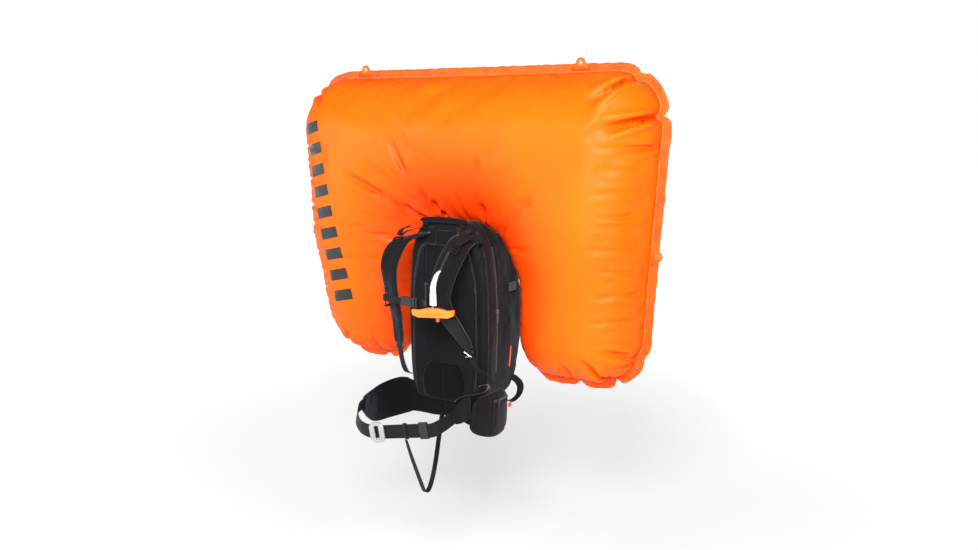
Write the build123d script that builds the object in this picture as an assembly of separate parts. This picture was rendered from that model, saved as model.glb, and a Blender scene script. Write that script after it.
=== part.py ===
"""Avalanche airbag backpack with its airbag inflated.

Millimetres. +Z is up, the wearer stands in front and faces -Y, +X is the wearer's left.
The origin is the middle of the lumbar pad's face, where the wearer's lower back bears on it.
Soft pieces are plain closed solids with the true size and place.
"""

import os

from build123d import *

os.makedirs("parts", exist_ok=True)

# Driving dimensions
GAP = 0.5  # between sewn or glued neighbours of one body
LUMBAR_T = 7.5  # lumbar pad thickness, from its face at y = 0
PAD_Y = LUMBAR_T + GAP  # front of the back pad
SHELL_Y = 26.0  # front wall of the bag
WALL = 3.0  # bag fabric, lining and foam
BAG_TOP = 470.0
BAG_BOTTOM = -62.0

BAG_HALF_W = 130.0
BAG_DEPTH = 232.0
# height, half width, depth and corner radius of the bag, bottom to top
BAG_SECTIONS = [
    (BAG_BOTTOM, 100, 130, 30),
    (-35, 116, 178, 38),
    (20, 124, 207, 42),
    (120, BAG_HALF_W, BAG_DEPTH, 43),
    (230, BAG_HALF_W, BAG_DEPTH, 43),
    (330, 124, 210, 42),
    (405, 112, 168, 38),
    (450, 90, 112, 32),
    (BAG_TOP, 68, 56, 24),
]

AIRBAG_Y = 155.0  # seam plane of the airbag
AIRBAG_T = 270.0
AIRBAG_TOP = 883.0
AIRBAG_BOTTOM = 33.0
AIRBAG_HALF_TOP = 590.0
AIRBAG_HALF_BOTTOM = 540.0
NOTCH_HALF = 190.0
NOTCH_TOP = 466.0
# corners of the airbag's right half, from the top round to the notch, each with its radius
AIRBAG_CORNERS = [
    (AIRBAG_HALF_TOP, AIRBAG_TOP, 130),
    (AIRBAG_HALF_BOTTOM, AIRBAG_BOTTOM, 130),
    (NOTCH_HALF, AIRBAG_BOTTOM, 105),
    (NOTCH_HALF, 290, 90),
    (150, 400, 90),
    (72, NOTCH_TOP, 50),
]
AIRBAG_EDGE_R = 95.0
AIRBAG_SKIN = 1.5
FLANGE_W = 25.0
FLANGE_T = 2.0
EYELET_R = 4.0
EYELET_OUTER_R = 8.0
EYELET_T = 4.0
TAB_R = 14.0
SIDE_TAB_Z = 396.0

WEB_BELT_W = 38.0
WEB_BELT_T = 2.0
WEB_STRAP_W = 25.0
WEB_T = 1.6
WEB_CROTCH_W = 15.0

STRAP_T = 12.0
# the shoulder straps from the yoke down: middle, direction across, width, thickness
STRAP_LEFT = [
    ((76, 19, 428), (1, 0, -0.35), 60, 11),
    ((82, -30, 418), (1, 0, -0.45), 62, 12),
    ((86, -66, 396), (1, 0, -0.50), 64, 12),
    ((88, -112, 354), (1, 0, -0.40), 64, 12),
    ((88, -140, 305), (1, 0, -0.20), 64, 12),
    ((88, -141, 280), (1, 0, 0), 63, 12),
    ((88, -118, 240), (1, 0, 0), 62, 12),
    ((88, -92, 212), (1, 0, 0), 60, 12),
    ((90, -60, 178), (1, 0, 0), 54, 11),
    ((96, -34, 146), (1, 0, 0), 44, 10),
    ((101, -20, 124), (1, 0, 0), 32, 8),
]
STRAP_RIGHT = [
    ((-76, 19, 428), (1, 0, 0.35), 60, 11),
    ((-83, -32, 428), (1, 0, 0.25), 62, 12),
    ((-90, -84, 412), (1, 0, 0.1), 64, 12),
    ((-93, -118, 368), (1, -0.15, 0), 64, 12),
    ((-93, -121, 316), (1, -0.35, 0), 64, 12),
    ((-93, -104, 260), (1, -0.5, 0), 62, 12),
    ((-94, -86, 198), (1, -0.5, 0), 56, 12),
    ((-97, -76, 146), (1, -0.4, 0), 44, 10),
    ((-101, -68, 122), (1, -0.3, 0), 32, 8),
]

TRIGGER_X = 80.0
TRIGGER_Y = -163.0
HANDLE_Z = 246.0
HANDLE_W = 118.0
HANDLE_H = 22.0
HANDLE_T = 13.0
HANDLE_TURN = 20.0  # the handle hangs turned outwards by this angle
WIRE_R = 1.2

STERNUM_Y = -147.0
STERNUM_Z = 267.0
RAIL_R = 2.0
RAIL_RIGHT = (-106, -124)
RAIL_LEFT = (46, -147)

# hip wings from the root forward: middle, direction across, height, thickness
WING_RIGHT = [
    ((-118, 17, -52), (0, 0, 1), 100, 11),
    ((-146, 4, -58), (0, 0, 1), 112, 12),
    ((-172, -30, -66), (0, 0, 1), 112, 12),
    ((-181, -75, -68), (0, 0, 1), 104, 12),
    ((-176, -118, -58), (0, 0, 1), 76, 12),
    ((-167, -148, -48), (0, 0, 1), 54, 11),
    ((-161, -166, -44), (0, 0, 1), 36, 9),
]
WING_LEFT = [
    ((118, 17, -45), (0, 0, 1), 100, 11),
    ((148, 8, -44), (0, 0, 1), 118, 12),
    ((172, -24, -42), (0, 0, 1), 122, 12),
    ((180, -66, -36), (0, 0, 1), 112, 12),
    ((172, -112, -20), (0, 0, 1), 84, 12),
    ((160, -148, -7), (0, 0, 1), 62, 11),
    ((153, -176, -3), (0, 0, 1), 42, 9),
]
BELT_START = (128, -247.0, -46)
BELT_END = (-40, -250.0, -79)  # the end sewn behind the buckle ring
RING_W = 48.0
RING_H = 56.0
RING_T = 5.0
HANDLE_PIVOT_Y = 19.0
HANDLE_PIVOT_Z = 461.0

CARTRIDGE_R = 30.0
CARTRIDGE_Y = 112.0
HOUSING_BOTTOM = 335.0
HOUSING_TOP = 395.0
NECK_R = 9.0
LEVER_Y = 100.0
LEVER_Z = 372.0


def save(name, *shapes):
    """Writes one node as one STEP of one or more solids."""
    solids = [s for shape in shapes for s in shape.solids()]
    export_step(solids[0] if len(solids) == 1 else Compound(children=solids), f"parts/{name}.step")


def mirrored(shape):
    """The same piece on the other side of the body."""
    return mirror(shape, about=Plane.YZ)


def block(x0, x1, y0, y1, z0, z1, r=0.0, axis=None):
    """A box between two corners, with its edges along one axis, or all of them, rounded."""
    made = Pos((x0 + x1) / 2, (y0 + y1) / 2, (z0 + z1) / 2) * Box(x1 - x0, y1 - y0, z1 - z0)
    if r:
        edges = made.edges().filter_by(axis) if axis else made.edges()
        made = fillet(edges, r)
    return made


def rod(centre, direction, radius, length):
    """A cylinder centred on a point along a direction."""
    plane = Plane(origin=centre, z_dir=direction)
    return plane * Cylinder(radius, length)


def band(stations):
    """A strap or pad through stations of (centre, across, width, thickness), its section square to its path."""
    centres = [Vector(*s[0]) for s in stations]
    wires = []
    last = len(stations) - 1
    for i, (_, across, width, thickness) in enumerate(stations):
        along = (centres[min(i + 1, last)] - centres[max(i - 1, 0)]).normalized()
        across = Vector(*across)
        across = (across - along * across.dot(along)).normalized()
        normal = along.cross(across)
        half_w = across * (width / 2)
        half_t = normal * (thickness / 2)
        corners = [centres[i] + half_w + half_t, centres[i] - half_w + half_t]
        corners += [centres[i] - half_w - half_t, centres[i] + half_w - half_t]
        wires.append(Wire.make_polygon(corners, close=True))
    return Solid.make_loft(wires)


def even(stations, count):
    """The same strap with its stations spread evenly along a smooth path."""
    path = Spline(*[s[0] for s in stations])
    knots = [path.param_at_point(s[0]) for s in stations]
    spread = []
    for k in range(count):
        t = min(max(k / (count - 1), knots[0]), knots[-1])
        i = max(j for j in range(len(knots) - 1) if knots[j] <= t + 1e-9)
        share = (t - knots[i]) / (knots[i + 1] - knots[i])
        before, after = stations[i], stations[i + 1]
        across = tuple(a + (b - a) * share for a, b in zip(before[1], after[1]))
        sizes = [a + (b - a) * share for a, b in zip(before[2:], after[2:])]
        spread.append((tuple(path @ t), across, *sizes))
    return spread


def bag_loft(grow=0.0, trim=0.0):
    """The bag's outer form, grown by an amount on every side, or cut inwards by trim."""
    faces = []
    for i, (z, half_w, depth, r) in enumerate(BAG_SECTIONS):
        end = -1 if i == 0 else 1 if i == len(BAG_SECTIONS) - 1 else 0
        size = grow - trim
        outline = RectangleRounded(2 * (half_w + size), depth + 2 * size, r + size / 2)
        faces.append(Pos(0, SHELL_Y + depth / 2, z + end * size) * outline)
    return loft(faces)


def bag():
    """The main compartment, with the burst opening at its top rear, a tool pocket and the zips."""
    outer = bag_loft()
    shell = outer - bag_loft(trim=WALL)
    shell -= block(-72, 72, 120, 205, 400, 475)
    save("pack_shell", shell)

    pocket_faces = []
    for z, half_w, rear, r in [(-20, 78, 14, 26), (60, 92, 26, 30), (200, 96, 30, 30), (300, 88, 26, 30),
                               (350, 70, 16, 26)]:
        depth = next(d + (e - d) * (z - a) / (b - a) for (a, _, d, _), (b, _, e, _)
                     in zip(BAG_SECTIONS, BAG_SECTIONS[1:]) if a <= z <= b)
        mouth = RectangleRounded(2 * half_w, 60 + rear, r)
        pocket_faces.append(Pos(0, SHELL_Y + depth + (rear - 60) / 2 - 8, z) * mouth)
    pocket = loft(pocket_faces) - bag_loft(grow=GAP)
    save("tool_pocket", sorted(pocket.solids(), key=lambda s: s.volume)[-1])


def back_panel():
    """The contact back: foam pad, yoke pad, belt centre, lumbar pad, and inside the bag the frame sheet and stays."""
    pad = make_face(Polyline((-98, -56), (98, -56), (108, 60), (104, 300), (78, 404), (-78, 404), (-104, 300),
                             (-108, 60), close=True))
    pad = fillet(pad.vertices(), 16)
    save("back_pad", fillet(extrude_xz(pad, PAD_Y, SHELL_Y - GAP).edges().group_by(Axis.Y)[0], 5),
         block(-26, 26, 10, SHELL_Y - GAP, 408, 446, 5, Axis.Y),
         block(-104, 104, 9, 23, -98, -62.5, 5, Axis.X))
    lumbar = fillet(make_face(Polyline((-62, -52), (62, -52), (74, 10), (52, 62), (-52, 62), (-74, 10),
                                       close=True)).vertices(), 14)
    save("lumbar_pad", extrude_xz(lumbar, 0, LUMBAR_T))
    save("back_frame", block(-68, 68, 30.5, 32, -38, 400, 20, Axis.Y),
         *[block(x - 6, x + 6, 33, 36, -30, 390, 5, Axis.Y) for x in (-58, 58)])


def extrude_xz(face, y0, y1):
    """A face drawn in x and z, given thickness from y0 to y1."""
    return extrude(Plane(origin=(0, y0, 0), x_dir=(1, 0, 0), z_dir=(0, -1, 0)) * face, -(y1 - y0))


def airbag_profile(inset=0.0):
    """The airbag's outline in x and z: a tapered square with a notch that follows the bag's sides."""
    corners = AIRBAG_CORNERS + [(-x, z, r) for x, z, r in reversed(AIRBAG_CORNERS)]
    face = make_face(Polyline(*[(x, z) for x, z, _ in corners], close=True))
    for x, z, r in corners:
        face = fillet(face.vertices().sort_by_distance((x, z))[0], r)
    return offset(face, amount=-inset) if inset else face


def airbag_solid(inset=0.0):
    """The inflated form, front and back edges rounded over."""
    half = AIRBAG_T / 2 - inset
    made = extrude_xz(airbag_profile(inset), AIRBAG_Y - half, AIRBAG_Y + half)
    faces = made.faces().sort_by(Axis.Y)
    edges = faces[0].edges() + faces[-1].edges()
    return fillet(edges, AIRBAG_EDGE_R - inset)


def flange_edge(z):
    """The flange's outer edge in x at a height."""
    share = (z - AIRBAG_BOTTOM) / (AIRBAG_TOP - AIRBAG_BOTTOM)
    return AIRBAG_HALF_BOTTOM + (AIRBAG_HALF_TOP - AIRBAG_HALF_BOTTOM) * share + FLANGE_W


def airbag():
    """Two welded panels, the seam flange with its eyelet tabs, the inflation neck and the deflation valve."""
    skin = airbag_solid() - airbag_solid(AIRBAG_SKIN)
    far = 800
    front = skin & block(-far, far, -far, AIRBAG_Y, -far, 2 * far)
    rear = skin & block(-far, far, AIRBAG_Y, far, -far, 2 * far)
    front -= block(-41, 41, 130, 146, NOTCH_TOP - 3, NOTCH_TOP + 4)
    save("airbag_front_panel", front)
    valve_x, valve_z = 0, 640
    valve_y = AIRBAG_Y + AIRBAG_T / 2
    rear -= rod((valve_x, valve_y, valve_z), (0, 1, 0), 14.3, 20)
    save("airbag_rear_panel", rear)
    save("deflation_valve", rod((valve_x, valve_y, valve_z), (0, 1, 0), 14, 8)
         + rod((valve_x, valve_y + 3.5, valve_z), (0, 1, 0), 22, 6))

    side_x = flange_edge(SIDE_TAB_Z) + 2
    tabs = [(-371, AIRBAG_TOP + FLANGE_W + 2), (355, AIRBAG_TOP + FLANGE_W + 2), (side_x, SIDE_TAB_Z),
            (-side_x, SIDE_TAB_Z)]
    ring = offset(airbag_profile(), amount=FLANGE_W, kind=Kind.INTERSECTION) - airbag_profile()
    for x, z in tabs:
        ring += Pos(x, z) * Circle(TAB_R)
        ring -= Pos(x, z) * Circle(EYELET_OUTER_R - 2.5)
    ring -= Pos(0, 150) * Rectangle(2 * (NOTCH_HALF + 60), 700)
    flange = extrude_xz(ring, AIRBAG_Y - FLANGE_T / 2, AIRBAG_Y + FLANGE_T / 2)
    save("airbag_seam_flange", flange)
    save("airbag_eyelets", *[eyelet(x, z) for x, z in tabs])

    neck_faces = [Pos(0, y, z) * RectangleRounded(w, d, d / 2 - 0.5)
                  for z, w, d, y in [(396, 90, 30, 132), (430, 90, 22, 137), (NOTCH_TOP - 0.7, 88, 22, 138)]]
    hole_faces = [Pos(0, y, z) * RectangleRounded(w, d, d / 2 - 0.5)
                  for z, w, d, y in [(395, 84, 24, 132), (430, 84, 16, 137), (NOTCH_TOP + 0.5, 82, 16, 138)]]
    save("airbag_neck", loft(neck_faces) - loft(hole_faces))


def eyelet(x, z):
    """A moulded ring clipped through a tab, with a flange on each face."""
    ring = rod((x, AIRBAG_Y, z), (0, 1, 0), EYELET_OUTER_R, EYELET_T)
    ring -= rod((x, AIRBAG_Y, z), (0, 1, 0), EYELET_R, EYELET_T + 2)
    groove = rod((x, AIRBAG_Y, z), (0, 1, 0), EYELET_OUTER_R + 2, FLANGE_T + 0.2)
    groove -= rod((x, AIRBAG_Y, z), (0, 1, 0), EYELET_OUTER_R - 2.7, FLANGE_T + 2)
    return ring - groove


def inflation_unit():
    """Housing with the venturi, piercing plunger, release lever on its pin, cable, and the gas cartridge."""
    housing = block(-50, 50, 78, 150, HOUSING_BOTTOM, HOUSING_TOP, 8, Axis.Z)
    housing -= rod((0, CARTRIDGE_Y, HOUSING_BOTTOM + 9), (0, 0, 1), NECK_R + 0.35, 30)
    housing -= rod((0, CARTRIDGE_Y, HOUSING_BOTTOM + 40), (0, 0, 1), 5.0, 60)
    housing -= block(-40, 40, 124, 140, HOUSING_BOTTOM + 25, HOUSING_TOP + 1, 6, Axis.Z)
    housing -= rod((-38, CARTRIDGE_Y + 20, HOUSING_BOTTOM + 30), (1, 0, 0), 9, 40)
    grille = rod((-53, CARTRIDGE_Y + 20, HOUSING_BOTTOM + 30), (1, 0, 0), 13, 5)
    for dz in (-6, 0, 6):
        grille -= block(-60, -45, CARTRIDGE_Y + 12, CARTRIDGE_Y + 28, HOUSING_BOTTOM + 29 + dz,
                        HOUSING_BOTTOM + 31 + dz)

    bottle = rod((0, CARTRIDGE_Y, 240), (0, 0, 1), CARTRIDGE_R, 150)
    bottle = fillet(bottle.edges(), 22)
    bottle += rod((0, CARTRIDGE_Y, 319), (0, 0, 1), 13, 20)
    bottle += rod((0, CARTRIDGE_Y, 340), (0, 0, 1), NECK_R, 22)
    save("cartridge", bottle)
    strap = rod((0, CARTRIDGE_Y, 210), (0, 0, 1), CARTRIDGE_R + 2.5, 25)
    strap -= rod((0, CARTRIDGE_Y, 210), (0, 0, 1), CARTRIDGE_R + GAP, 30)
    strap += block(-12, 12, 37, CARTRIDGE_Y - CARTRIDGE_R - 1, 198, 222)
    save("cartridge_strap", strap)

    pin = rod((55, LEVER_Y, LEVER_Z), (1, 0, 0), 3.0, 9.8)
    lever = block(51, 55, LEVER_Y - 6, LEVER_Y + 6, LEVER_Z - 38, LEVER_Z + 6, 5, Axis.X)
    lever -= rod((53, LEVER_Y, LEVER_Z), (1, 0, 0), 3.35, 12)
    lever -= rod((53, LEVER_Y, LEVER_Z - 32), (1, 0, 0), 2.0, 12)
    save("release_lever", lever)
    # the Bowden cable, from its stop on the housing to the port behind the yoke
    line = Spline((62, 92, 344), (64, 60, 375), (66, 42, 420), tangents=[(0, -1, 0), (0, -0.2, 1)])
    save("trigger_cable", sweep(Plane(origin=line @ 0, z_dir=line % 0) * Circle(2.5), path=line))
    stop = block(58.5, 66, 93.5, 101, 340, 348) - rod((62, 95, 344), (0, -1, 0), 1.2, 40)
    save("inflation_housing", housing, grille, pin, stop)


def laid_on(stations, first, last, width, thickness, shift=0.0, lift=0.8):
    """A flat piece lying on the outer face of a strap, from one of its stations to another."""
    centres = [Vector(*s[0]) for s in stations]
    end = len(stations) - 1
    laid = []
    for i in range(first, last + 1):
        along = (centres[min(i + 1, end)] - centres[max(i - 1, 0)]).normalized()
        across = Vector(*stations[i][1])
        across = (across - along * across.dot(along)).normalized()
        normal = along.cross(across)
        centre = centres[i] + normal * (stations[i][3] / 2 + lift + thickness / 2) + across * shift
        laid.append((tuple(centre), tuple(across), width, thickness))
    return band(laid)


def shoulder_harness():
    """Padded straps, load lifters, lower webbings and their adjusters."""
    save("shoulder_strap_left", band(STRAP_LEFT))
    save("shoulder_strap_right", band(STRAP_RIGHT))
    save("load_lifters",
         band([((80, 24, 449), (1, 0, -0.1), 20, WEB_T), ((84, -12, 443), (1, 0, -0.3), 20, WEB_T),
               ((88, -42, 428), (1, 0, -0.4), 20, WEB_T), ((88.6, -58, 417), (1, 0, -0.4), 20, WEB_T)]),
         band([((-80, 24, 450), (1, 0, 0.1), 20, WEB_T), ((-85, -16, 449), (1, 0, 0.2), 20, WEB_T),
               ((-89, -54, 442), (1, 0, 0.2), 20, WEB_T), ((-90.5, -70, 436), (1, 0, 0.1), 20, WEB_T)]))
    save("lifter_buckles", ladder_lock((89.5, -72, 407.5), (0.03, -0.8, -0.6), (1, 0, -0.42), 28, 22),
         ladder_lock((-91.2, -84, 426), (-0.03, -0.8, -0.6), (1, 0, 0.1), 28, 22))
    save("lower_webbings",
         band([((103, -14, 105), (1, 0, 0), 20, WEB_T), ((114, -1, 68), (1, 0.1, 0), 20, WEB_T),
               ((122, 20, 44), (0.85, 0.5, 0), 20, WEB_T), ((128, 42, 22), (0.7, 0.7, 0), 20, WEB_T),
               ((132.5, 68, 2), (0.3, 0.9, 0), 20, WEB_T)]),
         band([((-103, -61, 104), (1, -0.2, 0), 20, WEB_T), ((-110, -42, 66), (1, -0.2, 0), 20, WEB_T),
               ((-116, -14, 26), (1, 0, 0), 20, WEB_T), ((-114, 16, 10), (1, 0, 0), 20, WEB_T)]))
    save("strap_adjusters", ladder_lock((101.8, -16.6, 113.5), (0.1, 0.45, -0.89), (1, 0, 0), 30, 12, 2.5),
         ladder_lock((-102.2, -64, 112), (-0.1, 0.3, -0.95), (1, -0.3, 0), 30, 12, 2.5))
    v_line = Polyline((90, -24, 112), (108, -19, 99), (90, -14, 94))
    save("strap_hook_left", sweep(Plane(origin=v_line @ 0, z_dir=v_line % 0) * Circle(1.6), path=v_line,
                                  transition=Transition.RIGHT))


def ladder_lock(centre, along, across, width, length, thickness=4.0):
    """A moulded adjuster: a frame with two slots for the webbing."""
    plane = Plane(origin=centre, x_dir=across, z_dir=Vector(*along).cross(Vector(*across)))
    frame = Box(width, length, thickness)
    slot = length * 0.28
    for side in (-1, 1):
        frame -= Pos(0, side * length * 0.22, 0) * Box(width - 6, slot, thickness + 2)
    return plane * frame


def haul_loop():
    """A padded grab roll on two webbing legs, folding about the top edge of the back."""
    legs = [band([((x, HANDLE_PIVOT_Y, HANDLE_PIVOT_Z), (1, 0, 0), 18, 2.5),
                  ((x, HANDLE_PIVOT_Y - 6, HANDLE_PIVOT_Z + 12), (1, 0, 0), 18, 2.5)]) for x in (-62, 62)]
    roll = rod((2, HANDLE_PIVOT_Y - 7, HANDLE_PIVOT_Z + 14), (1, 0, 0), 9, 152)
    roll = fillet(roll.edges(), 4)
    save("haul_loop", roll + legs[0] + legs[1])
    save("haul_loop_anchors", *[block(x - 10, x + 10, 22, 25.5, 436, 458) for x in (-46, 46)])


def sternum_strap():
    """Rails on both shoulder straps, sliding clips, webbings and a side-release buckle."""
    x, y = RAIL_RIGHT
    rail = rod((x, y, 268), (0, 0, 1), RAIL_R, 50)
    right_rail = rail + block(x - 4, x + 4, y - 2, y + 3.5, 290, 295) + block(x - 4, x + 4, y - 2, y + 17, 240, 245)
    clip = block(x - 6, x + 6, y - 6, y + 4, 258, 276, 1.5, Axis.Z) - rod((x, y, 267), (0, 0, 1), RAIL_R + 0.35, 30)
    save("sternum_clip_right", clip)
    up = (0, 0, 1)
    save("sternum_webbing_right",
         band([((x + 1, y - 7.6, STERNUM_Z), up, 19, WEB_T), ((-80, -138, STERNUM_Z), up, 19, WEB_T),
               ((-56, -145, STERNUM_Z), up, 19, WEB_T), ((-34.5, STERNUM_Y, STERNUM_Z), up, 19, WEB_T)]))
    socket = block(-34, 0, STERNUM_Y - 5, STERNUM_Y + 5, STERNUM_Z - 13, STERNUM_Z + 13, 3, Axis.X)
    socket -= block(-22, 1, STERNUM_Y - 2.6, STERNUM_Y + 2.6, STERNUM_Z - 10, STERNUM_Z + 10)
    for side in (-1, 1):
        socket -= block(-20, -10, STERNUM_Y - 3, STERNUM_Y + 3, STERNUM_Z + side * 11.5 - 2.5, STERNUM_Z + side * 11.5 + 2.5)
    save("sternum_socket", socket)
    plug = block(0.6, 18, STERNUM_Y - 4, STERNUM_Y + 4, STERNUM_Z - 13, STERNUM_Z + 13, 2, Axis.X)
    plug -= block(10, 13, STERNUM_Y - 6, STERNUM_Y + 6, STERNUM_Z - 10, STERNUM_Z + 10)
    for side in (-1, 1):
        plug += block(-18, 1, STERNUM_Y - 2, STERNUM_Y + 2, STERNUM_Z + side * 6.5 - 2, STERNUM_Z + side * 6.5 + 2)
    save("sternum_plug", plug)
    x, y = RAIL_LEFT
    rail = rod((x, y, 282), (0, 0, 1), RAIL_R, 80)
    left_rail = rail + block(x - 3, 55.5, y - 3, y + 3, 320, 325)
    left_rail += block(x - 3, x + 3, y - 2, -116, 240, 245) + block(x - 3, 56, -122, -116, 240, 245)
    save("sternum_rails", left_rail, right_rail)
    clip = block(x - 6, x + 5, y - 4, y + 7, 260, 276, 1.5, Axis.Z) - rod((x, y, 268), (0, 0, 1), RAIL_R + 0.35, 30)
    save("sternum_clip_left", clip)
    back = STERNUM_Y + 4.6
    save("sternum_webbing_left", block(3, x - 6.4, back, back + WEB_T, STERNUM_Z - 9.5, STERNUM_Z + 9.5))


def trigger():
    """The T handle on its wire, the sleeve on the strap, the lock tab and the strap's zip."""
    turned = Pos(TRIGGER_X, TRIGGER_Y, HANDLE_Z) * Rot(0, 0, HANDLE_TURN)
    half = HANDLE_W / 2
    grip_face = make_face(Polyline((-half, 11), (-half + 20, 9), (-14, 15), (14, 15), (half - 20, 9), (half, 11),
                                   (half - 2, -4), (half - 18, -11), (-half + 18, -11), (-half + 2, -4), close=True))
    grip = extrude_xz(fillet(grip_face.vertices(), 3), -HANDLE_T / 2, HANDLE_T / 2)
    grip = fillet(grip.edges().group_by(Axis.Y)[0] + grip.edges().group_by(Axis.Y)[-1], 2.5)
    grip -= block(-half + 24, half - 24, -HANDLE_T / 2 - 1, -HANDLE_T / 2 + 2, -6, 1, 2, Axis.Y)
    grip -= rod((0, 0, 14), (0, 0, 1), 4.2, 14)
    grip -= rod((0, -HANDLE_T / 2, 10.2), (0, 1, 0), 2.4, 2)
    grip -= block(7.6, 16.4, -3.2, 3.2, -12, -3.5)
    save("trigger_handle", turned * grip)
    wire_top, grip_top = 313, HANDLE_Z + 15
    wire = rod((TRIGGER_X, TRIGGER_Y, (wire_top + grip_top) / 2), (0, 0, 1), WIRE_R, wire_top - grip_top)
    wire += rod((TRIGGER_X, TRIGGER_Y, HANDLE_Z + 14), (0, 0, 1), 4.0, 13.8)
    save("trigger_wire", wire, turned * rod((0, -HANDLE_T / 2, 10.2), (0, 1, 0), 2.2, 1.8))
    tab = block(8, 16, -2.8, 2.8, -22, -4.2, 2.5, Axis.Y)
    save("trigger_lock_tab", turned * tab)
    side = (1, 0, 0)
    sleeve = band([((78, -122.5, 362), side, 9, 4), ((78.6, -143, 342), side, 12, 5), ((79.5, -158, 326), side, 15, 6),
                   ((TRIGGER_X, TRIGGER_Y, 312), side, 17, 6), ((TRIGGER_X, TRIGGER_Y, 300), side, 19, 6),
                   ((TRIGGER_X, TRIGGER_Y, 288), side, 21, 6), ((TRIGGER_X, TRIGGER_Y, 270), side, 22, 6)])
    sleeve -= rod((TRIGGER_X, TRIGGER_Y, 292), (0, 0, 1), WIRE_R + 0.6, 50)
    save("trigger_sleeve", sleeve)
    save("strap_zip", laid_on(STRAP_LEFT, 1, 3, 6, 1.5, -13))


def conform(y0, y1, z0, z1, lift, thickness, side=1):
    """A thin piece lying on the bag's side wall, cut to a window in y and z."""
    skin = bag_loft(grow=lift + thickness) - bag_loft(grow=lift)
    x0, x1 = (90, 160) if side > 0 else (-160, -90)
    piece = skin & block(x0, x1, y0, y1, z0, z1)
    return sorted(piece.solids(), key=lambda s: s.volume)[-1]


def side_gear():
    """Zips with sliders, compression straps with buckles, ski loops and a plain marker stripe."""
    x = BAG_HALF_W + 3.6
    slider = block(x, x + 4, 81, 91, 205, 219, 2, Axis.X) + block(x + 2, x + 4, 83.5, 88.5, 178, 206, 2, Axis.X)
    socket = block(x + 0.2, x + 8.2, 162, 190, 261, 287, 3, Axis.Y)
    socket -= block(x + 1.9, x + 6.5, 160, 180, 264, 284)
    plug = block(x + 0.2, x + 8.2, 142, 161.4, 261, 287, 3, Axis.Y)
    for z in (267.5, 280.5):
        plug += block(x + 2.5, x + 5.9, 160, 177, z - 2, z + 2)
    loop = band(even([((126, 188.5, -4), (0, 1, 0.2), 22, 2), ((133, 214, -24), (0.3, 1, 0.4), 22, 2),
                      ((136, 230, -48), (1, 0.2, 0), 22, 2), ((132, 222, -74), (1, -0.4, 0), 22, 2),
                      ((122, 196, -86), (1, -0.5, 0), 22, 2), ((112, 170, -74), (1, -0.5, 0), 22, 2)], 12))
    save("main_zips", conform(82, 90, 30, 400, 0.4, 1.6), conform(82, 90, 30, 400, 0.4, 1.6, -1))
    save("side_webbings", conform(96, 200, 264, 284, 0.4, 1.6), conform(96, 200, 264, 284, 0.4, 1.6, -1))
    save("side_buckle_sockets", socket, mirrored(socket))
    save("side_buckle_plug_left", plug)
    save("side_buckle_plug_right", mirrored(plug))
    save("main_slider_left", slider)
    save("main_slider_right", mirrored(slider))
    save("ski_loops", loop, mirrored(loop))
    save("marker_stripe", conform(164, 170, 31, 93, 0.4, 0.8))
    save("ski_loop_tab", band([((121, 190, -92), (1, -0.5, 0), 14, 2), ((126, 182, -98.5), (1, -0.5, 0), 14, 2)]))


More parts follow.
